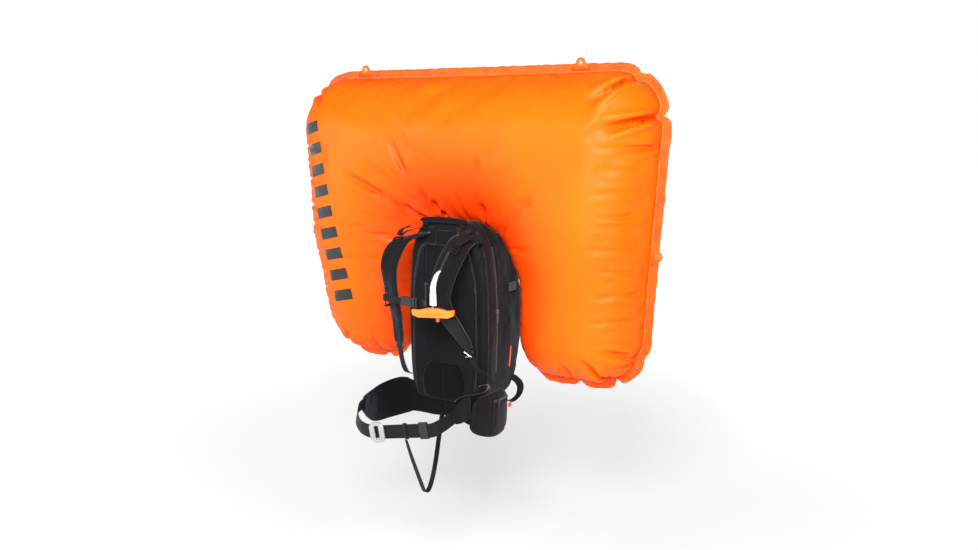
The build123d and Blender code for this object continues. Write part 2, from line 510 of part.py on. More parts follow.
def belt():
    """Hip wings, webbings, ring buckle, loops, the box pocket with its zip, and the crotch strap."""
    save("belt_wing_right", band(WING_RIGHT))
    save("belt_wing_left", band(WING_LEFT))
    up = (0, 0, 1)
    save("belt_webbing_right",
         band([((-178.6, -140, -50), up, 30, WEB_BELT_T), ((-175, -168, -56), (0.2, 0, 1), 34, WEB_BELT_T),
               ((-160, -196, -74), (0.2, 0, 1), WEB_BELT_W, WEB_BELT_T), ((-130, -219, -86), up, WEB_BELT_W, WEB_BELT_T),
               ((-98, -233, -88), up, WEB_BELT_W, WEB_BELT_T), ((-70, -240.5, -85), up, WEB_BELT_W, WEB_BELT_T),
               ((-44, -243.2, -80), up, WEB_BELT_W - 4, WEB_BELT_T)]))
    start, end = Vector(*BELT_START), Vector(*BELT_END)
    along = (end - start).normalized()
    straight = band([(tuple(start), up, WEB_BELT_W, WEB_BELT_T), (tuple(end), up, WEB_BELT_W, WEB_BELT_T)])
    curved = band([((168.6, -148, -10), up, WEB_BELT_W, WEB_BELT_T), ((168, -176, -14), up, WEB_BELT_W, WEB_BELT_T),
                   ((162, -205, -22), up, WEB_BELT_W, WEB_BELT_T), ((150, -229, -33), up, WEB_BELT_W, WEB_BELT_T),
                   (tuple(start + along * 2), up, WEB_BELT_W, WEB_BELT_T)])
    save("belt_webbing_left", curved + straight)
    at_ring = Plane(origin=(-46, -254.4, -80), x_dir=along, z_dir=Vector(0, 0, 1).cross(along))
    ring = extrude(RectangleRounded(RING_W, RING_H, 17) - RectangleRounded(15, 37, 3), RING_T / 2, both=True)
    ring = chamfer(ring.edges().group_by(Axis.Z)[-1] + ring.edges().group_by(Axis.Z)[0], 0.8)
    save("buckle_ring", at_ring * ring)
    plate = extrude(RectangleRounded(40, 34, 5), 1, both=True) - Pos(14, 0, 0) * Box(14, 20, 6)
    save("buckle_plate", Plane(origin=(-50, -247.2, -81), x_dir=along, z_dir=Vector(0, 0, 1).cross(along)) * plate)
    for name, k, length, wall in (("crotch_loop", 0.495, 9, 1.5), ("belt_triglide", 0.15, 26, 2.0)):
        plane = Plane(origin=start + (end - start) * k, x_dir=along, z_dir=Vector(0, 0, 1).cross(along))
        tall, deep = WEB_BELT_W + 2, WEB_BELT_T + 1.4
        made = Box(length, tall + 2 * wall, deep + 2 * wall) - Box(length + 2, tall, deep)
        if name == "belt_triglide":
            made -= Pos(0, 0, -deep) * Box(length - 12, WEB_BELT_W - 4, 6)
        save(name, plane * made)
    pocket = band([((187, 36, -42), up, 62, 18), ((198, 0, -44), up, 118, 28), ((204, -40, -44), up, 126, 30),
                   ((204, -76, -40), up, 122, 28), ((196, -118, -32), up, 104, 20), ((188, -146, -25), up, 74, 12)])
    save("belt_pocket", pocket)
    save("pocket_zip", band([((220.2, -4, -2), up, 6, 1.5), ((220.8, -30, -1), up, 6, 1.5), ((220.8, -56, 0), up, 6, 1.5),
                             ((219, -80, 1), up, 6, 1.5)]))
    save("pocket_slider", block(222.2, 225.2, -66, -56, -6, 5, 1, Axis.X) + block(223.2, 225.2, -63.5, -58.5, -24, -5))
    side = (1, 0, 0)
    save("crotch_strap",
         band(even([((-10, 14, -101), side, WEB_CROTCH_W, WEB_T), ((2, -12, -120), side, WEB_CROTCH_W, WEB_T),
                    ((14, -40, -146), side, WEB_CROTCH_W, WEB_T), ((26, -72, -190), side, WEB_CROTCH_W, WEB_T),
                    ((33, -98, -230), side, WEB_CROTCH_W, WEB_T),
                    ((36, -122, -264), side, WEB_CROTCH_W, WEB_T), ((37, -140, -273), side, WEB_CROTCH_W, WEB_T),
                    ((38, -156, -262), side, WEB_CROTCH_W, WEB_T), ((41, -192, -198), side, 14, WEB_T),
                    ((43, -224, -136), side, 12, WEB_T), ((44.8, -247, -87), side, 8.5, WEB_T)], 26)))


bag()
back_panel()
airbag()
inflation_unit()
shoulder_harness()
haul_loop()
sternum_strap()
trigger()
side_gear()
belt()
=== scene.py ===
"""Avalanche airbag backpack: cloth, padding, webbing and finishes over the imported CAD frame."""

import math
import random

import bmesh
import bpy
import numpy as np
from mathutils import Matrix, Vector, noise
from mathutils.bvhtree import BVHTree
from mathutils.geometry import delaunay_2d_cdt


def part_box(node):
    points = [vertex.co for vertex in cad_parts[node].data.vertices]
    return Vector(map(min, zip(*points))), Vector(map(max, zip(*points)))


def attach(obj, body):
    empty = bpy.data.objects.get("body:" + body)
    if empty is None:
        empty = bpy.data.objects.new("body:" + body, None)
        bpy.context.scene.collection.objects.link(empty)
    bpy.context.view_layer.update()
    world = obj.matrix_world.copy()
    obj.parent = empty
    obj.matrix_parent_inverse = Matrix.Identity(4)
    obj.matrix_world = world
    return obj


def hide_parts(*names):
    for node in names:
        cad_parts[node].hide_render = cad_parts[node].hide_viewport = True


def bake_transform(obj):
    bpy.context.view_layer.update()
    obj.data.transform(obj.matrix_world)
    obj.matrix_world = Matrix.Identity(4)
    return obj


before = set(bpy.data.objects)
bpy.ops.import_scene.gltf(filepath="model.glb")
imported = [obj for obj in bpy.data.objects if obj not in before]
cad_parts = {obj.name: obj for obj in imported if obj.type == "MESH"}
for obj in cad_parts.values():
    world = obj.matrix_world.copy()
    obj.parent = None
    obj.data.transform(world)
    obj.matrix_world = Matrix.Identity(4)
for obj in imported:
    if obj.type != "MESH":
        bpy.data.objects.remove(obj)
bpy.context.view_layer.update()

MM = 0.001
scene = bpy.context.scene


# ---------------------------------------------------------------- materials

def new_material(name):
    """A node material's Principled shader and a helper that adds nodes; inputs take values or outputs."""
    mat = bpy.data.materials.new(name)
    mat.use_nodes = True
    tree = mat.node_tree
    return mat, tree.nodes["Principled BSDF"], adder(tree)


def adder(tree):
    """A helper that adds a node to a tree and sets its inputs; an output given for an input is linked."""
    def fill(node, key, value):
        if isinstance(value, bpy.types.NodeSocket):
            tree.links.new(value, node.inputs[key])
        elif isinstance(key, int) or key in node.inputs:
            node.inputs[key].default_value = value
        else:
            setattr(node, key, value)

    def add(kind, out=0, **values):
        node = tree.nodes.new("ShaderNode" + kind) if isinstance(kind, str) else kind
        for key, value in values.items():
            key = key.replace("_", " ") if key[0].isupper() else key
            fill(node, int(key[3:]) if key.startswith("at_") else key, value)
        return node.outputs[out] if node.outputs else node
    return add


def ramp(add, source, low, high, start=0.3, stop=0.7):
    """A colour between two, driven by a node's output."""
    colour = add("ValToRGB", Fac=source)
    stops = colour.node.color_ramp.elements
    for stop_at, place, shade in ((stops[0], start, low), (stops[1], stop, high)):
        stop_at.color = (*shade, 1)
        stop_at.position = place
    return colour


NOTCH_SHADE_TOP = 0.38  # height in metres up to which the painted shade keeps its full strength
NOTCH_SHADE_FADE = 0.46  # distance in metres at which the painted shade ends
NOTCH_SHADE_CORE = 0.10
# colours of the painted shade near the notch and in the creases
NOTCH_SHADE_RED = (0.72, 0.026, 0.0006, 1)
FOLD_SHADE_RED = (0.38, 0.010, 0.0004, 1)


def paint_notch_and_crease_shade(mat):
    """Paints shade into the cloth's colour: a deeper red towards the notch over the bag and inside the
    creases.
    """
    tree = mat.node_tree
    add = adder(tree)
    shader = tree.nodes["Principled BSDF"]
    colour = shader.inputs["Base Color"].links[0].from_socket
    place = add("SeparateXYZ", Vector=add("TexCoord", "Object"))
    above = add("Math", operation="SUBTRACT", at_0=place.node.outputs["Z"], at_1=NOTCH_SHADE_TOP)
    clear = add("Math", operation="MAXIMUM", at_0=above, at_1=0.0)
    away = add("VectorMath", "Value", operation="LENGTH", at_0=add("CombineXYZ", X=place, Z=clear))
    # strength of the painted shade, highest near the notch
    near = add("MapRange", interpolation_type="SMOOTHSTEP", Value=away, From_Min=NOTCH_SHADE_FADE,
               From_Max=NOTCH_SHADE_CORE, To_Max=0.85)
    # how deep in a crease each point lies, the mask of the painted crease shade
    fold_shade = add("Attribute", "Fac", attribute_name="fold_shade")
    # mixes the painted shade into the colour: near the notch, then in the creases
    for amount, shade_colour in ((near, NOTCH_SHADE_RED), (fold_shade, FOLD_SHADE_RED)):
        colour = add("Mix", 2, data_type="RGBA", at_0=amount, at_6=colour, at_7=shade_colour)
    add(shader, Base_Color=colour)


def cloth(name, low, high, weave=1500, weave_bump=0.1, mottle=14, rough=0.5, sheen=0.3, sheen_tint=(1, 1, 1),
          crumple=0.0, crumple_scale=40, specular=0.35, grid=0.0):
    """Woven fabric: a fine two-way weave, uneven colour, optional ripstop grid and small crumples."""
    mat, shader, add = new_material(name)
    place = add("TexCoord", "Object")
    patches = add("TexNoise", Vector=place, Scale=mottle, Detail=6.0, Roughness=0.6)
    threads = [add("TexWave", "Fac", Vector=place, wave_type="BANDS", bands_direction=axis, Scale=weave / 20,
                   Distortion=1.2, Detail_Scale=3.0) for axis in "XZ"]
    woven = add("Math", operation="MULTIPLY", at_0=threads[0], at_1=threads[1])
    normal = add("Bump", Height=woven, Strength=weave_bump, Distance=0.0006)
    if crumple:
        folds = add("TexNoise", Vector=place, Scale=crumple_scale, Detail=4.0, Roughness=0.55,
                    Distortion=1.4)
        normal = add("Bump", Height=folds, Normal=normal, Strength=crumple, Distance=0.004)
    for axis in "XZ" if grid else "":
        lines = add("TexWave", "Fac", Vector=place, wave_type="BANDS", bands_direction=axis, Scale=grid,
                    wave_profile="SAW")
        sharp = add("Math", operation="POWER", at_0=lines, at_1=14.0)
        normal = add("Bump", Height=sharp, Normal=normal, Strength=0.12, Distance=0.0005)
    worn = add("MapRange", Value=patches, To_Min=rough - 0.07, To_Max=min(1.0, rough + 0.07))
    add(shader, Base_Color=ramp(add, patches, low, high), Normal=normal, Roughness=worn, Sheen_Weight=sheen,
        Sheen_Roughness=0.45, Sheen_Tint=(*sheen_tint, 1), Specular_IOR_Level=specular)
    return mat


def solid(name, low, high, rough=0.45, metallic=0.0, grain=400, bump=0.1, specular=0.5, stretch=None):
    """Moulded plastic or metal: fine grain, scuffs in roughness and a little uneven colour."""
    mat, shader, add = new_material(name)
    place = add("TexCoord", "Object")
    if stretch:
        place = add("Mapping", Vector=place, Scale=stretch)
    marks = add("TexNoise", Vector=place, Scale=60, Detail=5.0, Roughness=0.65)
    worn = add("MapRange", Value=marks, To_Min=max(0.05, rough - 0.12), To_Max=rough + 0.12)
    relief = add("Bump", Height=add("TexNoise", Vector=place, Scale=grain, Detail=2.0), Strength=bump,
                 Distance=0.0004)
    add(shader, Base_Color=ramp(add, marks, low, high, 0.35, 0.75), Roughness=worn, Normal=relief,
        Metallic=metallic, Specular_IOR_Level=specular)
    return mat


AIRBAG = cloth("airbag_cloth", (0.93, 0.100, 0.0008), (0.96, 0.120, 0.001), mottle=5, rough=0.45,
               sheen=0.0, specular=0.12, grid=28.0)
# painted shade near the notch and in the creases of the airbag cloth
paint_notch_and_crease_shade(AIRBAG)
SEAM = cloth("airbag_seam_cloth", (0.85, 0.055, 0.001), (0.96, 0.10, 0.001), weave_bump=0.15,
             mottle=22, sheen=0.0, crumple=0.5, crumple_scale=60, specular=0.22)
WELD = cloth("weld_tape", (0.85, 0.10, 0.003), (0.95, 0.14, 0.006), mottle=40, specular=0.2)
PRINT = cloth("printed_mark", (0.004, 0.004, 0.004), (0.01, 0.009, 0.008))
BODY_CLOTH = cloth("pack_cloth", (0.00315, 0.00309, 0.00375), (0.00555, 0.0054, 0.00645), weave=1300,
                   weave_bump=0.5, mottle=30, rough=0.78, sheen=0.084, sheen_tint=(0.75, 0.75, 0.85),
                   crumple=0.35, crumple_scale=22, specular=0.135)
PAD_CLOTH = cloth("padding_cloth", (0.00306, 0.00306, 0.00378), (0.00522, 0.00511, 0.00612), weave=1700,
                  weave_bump=0.4, mottle=35, rough=0.85, sheen=0.096, sheen_tint=(0.7, 0.72, 0.85),
                  crumple=0.2, crumple_scale=30, specular=0.112)
MESH_CLOTH = cloth("inner_padding_cloth", (0.00157, 0.00157, 0.0021), (0.00273, 0.00273, 0.00357), weave=700,
                   weave_bump=0.8, mottle=40, rough=0.92, sheen=0.108, sheen_tint=(0.6, 0.65, 0.85),
                   specular=0.09)
BINDING = cloth("binding_tape", (0.00252, 0.00252, 0.00315), (0.00504, 0.00504, 0.00588), weave=1900,
                weave_bump=0.7, mottle=60, rough=0.7, specular=0.158)
WEBBING = cloth("webbing_weave", (0.00234, 0.00234, 0.0027), (0.0045, 0.0045, 0.00522), weave=1000,
                weave_bump=0.9, mottle=50, rough=0.65, sheen=0.048, specular=0.18)
SLEEVE = cloth("sleeve_weave", (0.527, 0.527, 0.629), (0.663, 0.663, 0.748), weave=1600, weave_bump=0.5,
               mottle=60, rough=0.6)
BLACK_PLASTIC = solid("black_plastic", (0.00441, 0.00441, 0.0049), (0.00882, 0.00882, 0.0098), rough=0.42,
                      grain=900, bump=0.18)
ORANGE_PLASTIC = solid("orange_plastic", (0.95, 0.15, 0.004), (1.0, 0.22, 0.012), rough=0.42, grain=700,
                       bump=0.1)
SILVER = solid("satin_aluminium", (0.55, 0.55, 0.57), (0.75, 0.75, 0.77), rough=0.33, metallic=1.0,
               grain=600, bump=0.06, stretch=(1, 1, 14))
BUCKLE_SILVER = solid("anodised_aluminium", (0.3675, 0.3675, 0.37275), (0.4515, 0.4515, 0.45675), rough=0.38,
                      metallic=0.55, grain=600, bump=0.06, specular=0.6)
ZIP_METAL = solid("cast_slider_metal", (0.25, 0.25, 0.26), (0.5, 0.5, 0.52), rough=0.35, metallic=1.0,
                  grain=500, bump=0.08)
ZIP_TAPE = cloth("zip_tape", (0.004, 0.004, 0.005), (0.009, 0.009, 0.010), weave=2200, weave_bump=1.0,
                 mottle=60, rough=0.6)
MARKER = cloth("marker_weave", (0.85, 0.045, 0.006), (1.0, 0.08, 0.01), weave=1800, weave_bump=0.6,
               mottle=60, rough=0.6)
HOUSING = solid("housing_plastic", (0.015, 0.015, 0.016), (0.03, 0.03, 0.032), rough=0.5, grain=700,
                bump=0.2)


# ---------------------------------------------------------------- mesh helpers

def placed(name, data):
    """A scene object that holds the data."""
    obj = bpy.data.objects.new(name, data)
    scene.collection.objects.link(obj)
    return obj


def aimed(obj, place, towards):
    """Puts a camera or lamp at a place, looking along a direction."""
    obj.location = place
    obj.rotation_mode = "QUATERNION"
    obj.rotation_quaternion = towards.to_track_quat("-Z", "Y")


def make(name, verts, faces, mat, body, slot, replaces=(), smooth=True):
    """A mesh piece from points in metres, riding on a body if one is given."""
    mesh = bpy.data.meshes.new(name)
    mesh.from_pydata([tuple(v) for v in verts], [], [tuple(f) for f in faces])
    mesh.validate()
    mesh.update()
    obj = placed(name, mesh)
    mesh.materials.append(mat)
    if smooth:
        mesh.polygons.foreach_set("use_smooth", [True] * len(mesh.polygons))
    if body:
        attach(obj, body)
    if replaces:
        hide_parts(*replaces)
    return obj


def merge(name, parts, mat, body, slot, replaces=()):
    """One piece from several (points, faces) lists."""
    verts, faces = [], []
    for points, polys in parts:
        base = len(verts)
        verts += list(points)
        faces += [[base + i for i in f] for f in polys]
    return make(name, verts, faces, mat, body, slot, replaces)


def grid(rows, wide, base=0, wrap=True):
    """Faces between successive rows of points; each row is a ring when it wraps."""
    return [(base + i * wide + k, base + i * wide + (k + 1) % wide, base + (i + 1) * wide + (k + 1) % wide,
             base + (i + 1) * wide + k) for i in range(rows - 1) for k in range(wide if wrap else wide - 1)]


def ends(rows, wide):
    """The two faces that close a skin of rings at its first and last row."""
    return [list(range(wide))[::-1], [(rows - 1) * wide + k for k in range(wide)]]


def hoop(rows, wide):
    """Faces between rings of points joined end to end, the last back to the first."""
    return [[i % (rows * wide) for i in face] for face in grid(rows + 1, wide)]


def run_along(points):
    """The distance along a line at each of its points."""
    return np.concatenate([[0], np.cumsum(np.linalg.norm(np.diff(points, axis=0), axis=1))])


def at_runs(where, run, points):
    """A line's points at distances along it."""
    return np.column_stack([np.interp(where, run, points[:, k]) for k in range(points.shape[1])])


def units(vectors):
    """Each row at length one."""
    return vectors / np.maximum(np.linalg.norm(vectors, axis=-1, keepdims=True), 1e-9)


def evenly(points, count=None, spacing=None):
    """A closed outline resampled at evenly spaced points."""
    loop = np.vstack([points, points[:1]])
    run = run_along(loop)
    return at_runs(np.linspace(0, run[-1], count or int(run[-1] / spacing), endpoint=False), run, loop)


def spline(points, count):
    """Points spread evenly along a smooth line through the given ones; extra values ride along."""
    pts = np.array(points, float)
    padded = np.vstack([2 * pts[0] - pts[1], pts, 2 * pts[-1] - pts[-2]])
    dense = []
    for i in range(len(pts) - 1):
        a, b, c, d = padded[i:i + 4]
        for t in np.linspace(0, 1, 24, endpoint=False):
            dense.append(0.5 * (2 * b + (c - a) * t + (2 * a - 5 * b + 4 * c - d) * t * t
                                + (3 * b - 3 * c + d - a) * t ** 3))
    dense = np.array(dense + [pts[-1]])
    run = run_along(dense[:, :3])
    return at_runs(np.linspace(0, run[-1], count), run, dense)


def frames_along(stations, count):
    """Centres, directions along, across and outward, widths and thicknesses of a strap, in millimetres."""
    rows = spline([[*c, *units(np.array(a, float)), w, t] for c, a, w, t in stations], count)
    centres = rows[:, :3]
    along = units(np.gradient(centres, axis=0))
    across = units(rows[:, 3:6] - along * np.sum(rows[:, 3:6] * along, axis=1)[:, None])
    return centres, along, across, np.cross(along, across), rows[:, 6], rows[:, 7]


def ring_profile(kind, count=28):
    """A cross-section in units of half width and half thickness."""
    flat, tall = {"web": (0.16, 0.6), "pad": (0.55, 0.62), "round": (1, 1)}[kind]
    turns = [2 * math.pi * k / count for k in range(count)]
    return [(math.copysign(abs(math.cos(a)) ** flat, math.cos(a)),
             math.copysign(abs(math.sin(a)) ** tall, math.sin(a))) for a in turns]


def sweep(stations, count=60, kind="web", around=16, round_ends=0.0):
    """A strap's skin: its cross-section swept along its stations, with closed ends."""
    centres, _, across, normal, width, thick = frames_along(stations, count)
    verts = []
    for i, reach in enumerate(np.linspace(0, 1, count)):
        shrink = 1.0
        if round_ends:
            end = min(1.0, min(reach, 1 - reach) * (count - 1) / max(1.0, round_ends * (count - 1)))
            shrink = math.sqrt(1 - (1 - end) ** 2) * 0.75 + 0.25
        for u, v in ring_profile(kind, around):
            w = width[i] / 2 * u * (0.7 + 0.3 * shrink)
            verts.append((centres[i] + across[i] * w + normal[i] * thick[i] / 2 * v * shrink) * MM)
    return verts, grid(count, around) + ends(count, around)


def tube(points, radius, around=8, flat=1.0, closed=False):
    """A round or flattened cord of cloth along points in millimetres."""
    pts = np.array(points, float)
    tangent = units(np.roll(pts, -1, axis=0) - np.roll(pts, 1, axis=0) if closed
                    else np.gradient(pts, axis=0))
    side = units(np.cross(tangent[0], (0.3, 0.2, 0.93)))
    verts = []
    for p, t in zip(pts, tangent):
        side = units(side - t * np.dot(side, t))
        up = np.cross(t, side)
        for a in np.arange(around) * 2 * math.pi / around:
            verts.append((p + side * radius * math.cos(a) + up * radius * flat * math.sin(a)) * MM)
    rows = len(pts)
    if closed:
        return verts, hoop(rows, around)
    return verts, grid(rows, around) + ends(rows, around)


def stitches(points, normals, pitch=3.4, length=2.2, radius=0.28):
    """A row of short thread stitches lying on a surface, along points in millimetres."""
    pts = np.array(points, float)
    run = run_along(pts)
    verts, faces = [], []
    for s in np.arange(pitch, run[-1] - pitch, pitch):
        first, last = at_runs([s - length / 2, s + length / 2], run, pts)
        up = units(at_runs([s], run, np.array(normals, float))[0])
        side = np.cross(units(last - first), up)
        faces += grid(3, 3, len(verts))
        for p, r in ((first, 0.5), ((first + last) / 2 + up * radius * 1.1, 1.0), (last, 0.5)):
            for a in (0, 2.094, 4.189):
                verts.append((p + side * radius * r * math.cos(a) + up * radius * r * math.sin(a)) * MM)
    return verts, faces


def vectors(source, name="co"):
    """A mesh collection's vectors as rows."""
    flat = np.empty(len(source) * 3)
    source.foreach_get(name, flat)
    return flat.reshape(-1, 3)


def relax(obj, pinned, frames, pressure, cap, shrink=0.0, stiff=15.0, bend=0.5):
    """Lets the cloth settle under inner pressure, keeps each point within a cap, and applies the result."""
    mesh = obj.data
    start = vectors(mesh.vertices)
    obj.vertex_groups.new(name="held").add([int(i) for i in pinned], 1.0, "REPLACE")
    mod = obj.modifiers.new("settle", "CLOTH")
    cloth_set = mod.settings
    cloth_set.vertex_group_mass = "held"
    cloth_set.quality = 5
    cloth_set.mass = 0.3
    cloth_set.tension_stiffness = cloth_set.compression_stiffness = cloth_set.shear_stiffness = stiff
    cloth_set.bending_stiffness = bend
    cloth_set.use_pressure = pressure > 0
    cloth_set.uniform_pressure_force = pressure
    cloth_set.shrink_min = shrink
    cloth_set.effector_weights.gravity = 0
    mod.collision_settings.use_collision = False
    mod.point_cache.frame_start = 1
    mod.point_cache.frame_end = frames
    for f in range(1, frames + 1):
        scene.frame_set(f)
    move = vectors(obj.evaluated_get(bpy.context.evaluated_depsgraph_get()).data.vertices) - start
    held = np.minimum(1.0, cap / np.maximum(np.linalg.norm(move, axis=1), 1e-9))
    obj.modifiers.remove(mod)
    obj.vertex_groups.clear()
    scene.frame_set(1)
    mesh.vertices.foreach_set("co", (start + move * held[:, None]).ravel())
    mesh.update()


def unit_noise(points, scale, seed=0.0):
    """Smooth noise at each point, from -1 to 1."""
    return np.array([noise.noise(Vector((p[0] * scale + seed, p[1] * scale, p[2] * scale - seed)))
                     for p in points])


# ---------------------------------------------------------------- airbag

SEAM_Y = 155.0
AIRBAG_HALF_T = 131.0
EDGE_ROLL = 172.0  # distance from the seam over which the cloth rolls up to its full depth
NOTCH_ROLL = 330.0  # distance over which the face rises out of the notch
NOTCH_DEPTH = 0.42  # share of the thickness left beside the notch
PANEL_SPACING = 11.5
EDGE_RINGS = 16  # rows of points over the rolled edge
FLANGE_W = 24.0
NOTCH_HALF_W = 210  # the border stays outside this half width below this height
NOTCH_CLEAR_Z = 560
HOLE_R = 5.6
HOLE_RIM_R = 9.5
TAB_R = 13.5
PAD_SETTLE = 0.003  # how far a strap's cloth may settle, in metres
OUTLINE = [(-590, 883, 165), (600, 883, 130), (546, 33, 130), (178, 33, 118), (174, 300, 90), (112, 420, 60),
           (66, 450, 30), (-66, 450, 30), (-112, 420, 60), (-174, 300, 90), (-178, 33, 118), (-478, 33, 165),
           (-563, 396, 400)]
NOTCH = [(-178, 60), (-174, 300), (-112, 420), (-66, 450), (66, 450), (112, 420), (174, 300), (178, 60)]
# where the seam folds in at the corners: place in x and z, depth, half width of the dent
FOLDS = [(520, 857, 24, 13), (598, 768, 26, 14), (-524, 850, 12, 16), (480, 44, 24, 14), (372, 33, 14, 16),
         (-420, 40, 16, 14), (-300, 33, 14, 13), (551, 118, 8, 18)]
EYELETS = [(-371, 910), (355, 910)]
DASHES = 9
DASH_GRID = 16
DASH_W = 72.0
DASH_H = 34.0
DASH_TOP = (-500, 765)
DASH_FOOT = (-374, 190)


def corner_arms(corners):
    """Each corner with the unit directions back to the one before and on to the one after."""
    pts = [np.array(c[:2], float) for c in corners]
    after = pts[1:] + pts[:1]
    return [(here, units(pts[i - 1] - here), units(after[i] - here)) for i, here in enumerate(pts)]


def outline_points(spacing):
    """The seam's line with rounded corners, clockwise from the top left, evenly spaced."""
    pts = []
    for (here, a, b), (_, _, r) in zip(corner_arms(OUTLINE), OUTLINE):
        half = math.acos(np.clip(np.dot(a, b), -1, 1)) / 2
        centre = here + units(a + b) * r / math.sin(half)
        first, last = (here + arm * r / math.tan(half) - centre for arm in (a, b))
        start = math.atan2(first[1], first[0])
        turn = (math.atan2(last[1], last[0]) - start + math.pi) % (2 * math.pi) - math.pi
        for angle in start + turn * np.arange(25) / 24:
            pts.append(centre + r * np.array((math.cos(angle), math.sin(angle))))
    return evenly(np.array(pts), spacing=spacing)


def inward(pts):
    """The inward normal at each point of the closed outline."""
    tangent = units(np.roll(pts, -1, axis=0) - np.roll(pts, 1, axis=0))
    return np.stack([tangent[:, 1], -tangent[:, 0]], axis=1)


def folded_outline(pts):
    """The outline with the corner folds pressed in."""
    dents = np.zeros(len(pts))
    for x, z, depth, width in FOLDS:
        dents += depth * np.exp(-(np.linalg.norm(pts - (x, z), axis=1) / width) ** 2)
    return pts + inward(pts) * dents[:, None]


def edge_distance(points, outline):
    """Distance from each point to the outline's nearest sample."""
    best = np.empty(len(points))
    batch = 2000
    for start in range(0, len(points), batch):
        some = points[start:start + batch]
        gaps = np.hypot(some[:, :1] - outline[None, :, 0], some[:, 1:] - outline[None, :, 1])
        best[start:start + batch] = gaps.min(axis=1)
    return best


def crease(points, start, end, depth, width, ridge=0.35, bend=0.0):
    """Depth at each point of one crease, deepest near its start and fading to its end, with raised lips."""
    a, b = np.array(start, float), np.array(end, float)
    line = b - a
    size = np.linalg.norm(line)
    line /= size
    side = np.array((-line[1], line[0]))
    rel = points - a
    t = rel @ line / size
    off = rel @ side - bend * size * 4 * t * (1 - t)
    fade = np.where((t > -0.15) & (t < 1), np.clip((t + 0.15) / 0.2, 0, 1) * np.clip(1 - t, 0, 1) ** 0.8, 0)
    spread = width * (0.6 + 0.8 * np.clip(t, 0, 1))
    dip = np.exp(-(off / spread) ** 2)
    lips = np.exp(-((np.abs(off) - 2.1 * spread) / (1.1 * spread)) ** 2)
    return fade * depth * (-dip + ridge * lips)


# the big creases that fan out of the notch over the bag: start, end, depth, half width, bend
FANS = [((-92, 455), (-364, 604), 23, 8, -0.03), ((-36, 464), (-190, 724), 23, 8, 0.04),
        ((78, 470), (114, 672), 20, 7, 0.02), ((150, 450), (284, 552), 20, 8, 0.03),
        ((-232, 347), (-420, 337), 8, 8, 0.03), ((196, 396), (285, 404), 7, 8, 0.0),
        ((18, 474), (8, 600), 7, 9, 0.0), ((-170, 400), (-360, 440), 6, 9, 0.02)]
CORNER_CREASES = [((520, 857), (418, 800), 26, 9), ((595, 768), (474, 728), 30, 9),
                  ((478, 44), (415, 120), 22, 9), ((372, 33), (352, 100), 12, 9),
                  ((-524, 850), (-450, 795), 14, 10), ((-420, 40), (-385, 120), 18, 9),
                  ((-300, 33), (-300, 110), 12, 9), ((604, 690), (508, 672), 9, 8),
                  ((548, 118), (480, 150), 10, 9), ((560, 100), (500, 95), 8, 7)]
# height, reach inwards and depth of the puckers that run in from the right-hand seam
SIDE_PUCKERS = [(688, 120, 6.0), (655, 60, 3.5), (627, 85, 5.0), (576, 120, 6.5), (548, 60, 3.5),
                (512, 100, 7.0), (482, 110, 6.5), (452, 60, 3.5), (417, 115, 6.5), (384, 60, 3.5),
                (355, 110, 6.0), (328, 60, 3.5), (300, 95, 6.0), (268, 60, 4.0), (229, 110, 6.0),
                (196, 70, 4.0), (165, 80, 4.5), (138, 70, 4.5)]


def seam_wave(point):
    """How far the seam swings forward or back at a place in x and z."""
    return 5.0 * noise.noise(Vector((point[0] * 0.012, point[1] * 0.012, 3.1)))


def thinned(loop, least):
    """The points of a loop that stay at least a distance after the one kept before."""
    keep = [0]
    for i in range(1, len(loop)):
        if np.linalg.norm(loop[i] - loop[keep[-1]]) > least:
            keep.append(i)
    return loop[keep]


def panel_pattern(plain, seam):
    """A panel laid flat: its points, its triangles and which points lie on the seam."""
    flat = [seam]
    for j in range(1, EDGE_RINGS + 1):
        share = 1 - math.cos(math.pi / 2 * j / EDGE_RINGS)
        loop = (plain + (seam - plain) * (1 - share) ** 3) + inward(plain) * (EDGE_ROLL * share)
        ring = thinned(loop, 0.62 * PANEL_SPACING)
        flat.append(ring[edge_distance(ring, plain) > EDGE_ROLL * share * 0.97])
    grid_x = np.arange(-600, 601, PANEL_SPACING)
    grid_z = np.arange(30, 890, PANEL_SPACING * 0.87)
    shift = PANEL_SPACING / 2
    fill = np.array([(x + (shift if j % 2 else 0), z) for j, z in enumerate(grid_z) for x in grid_x])
    deep = edge_distance(fill, plain) > EDGE_ROLL + PANEL_SPACING * 0.6
    flat.append(fill[inside_outline(fill, plain) & deep])
    points = [Vector(p) for p in np.vstack(flat)]
    count = len(seam)
    border = [(i, (i + 1) % count) for i in range(count)]
    pts, _, tris, orig, _, _ = delaunay_2d_cdt(points, border, [list(range(count))], 1, 1e-4)
    on_seam = np.array([any(o < count for o in source) for source in orig])
    return np.array([tuple(v) for v in pts]), [tuple(t) for t in tris], on_seam


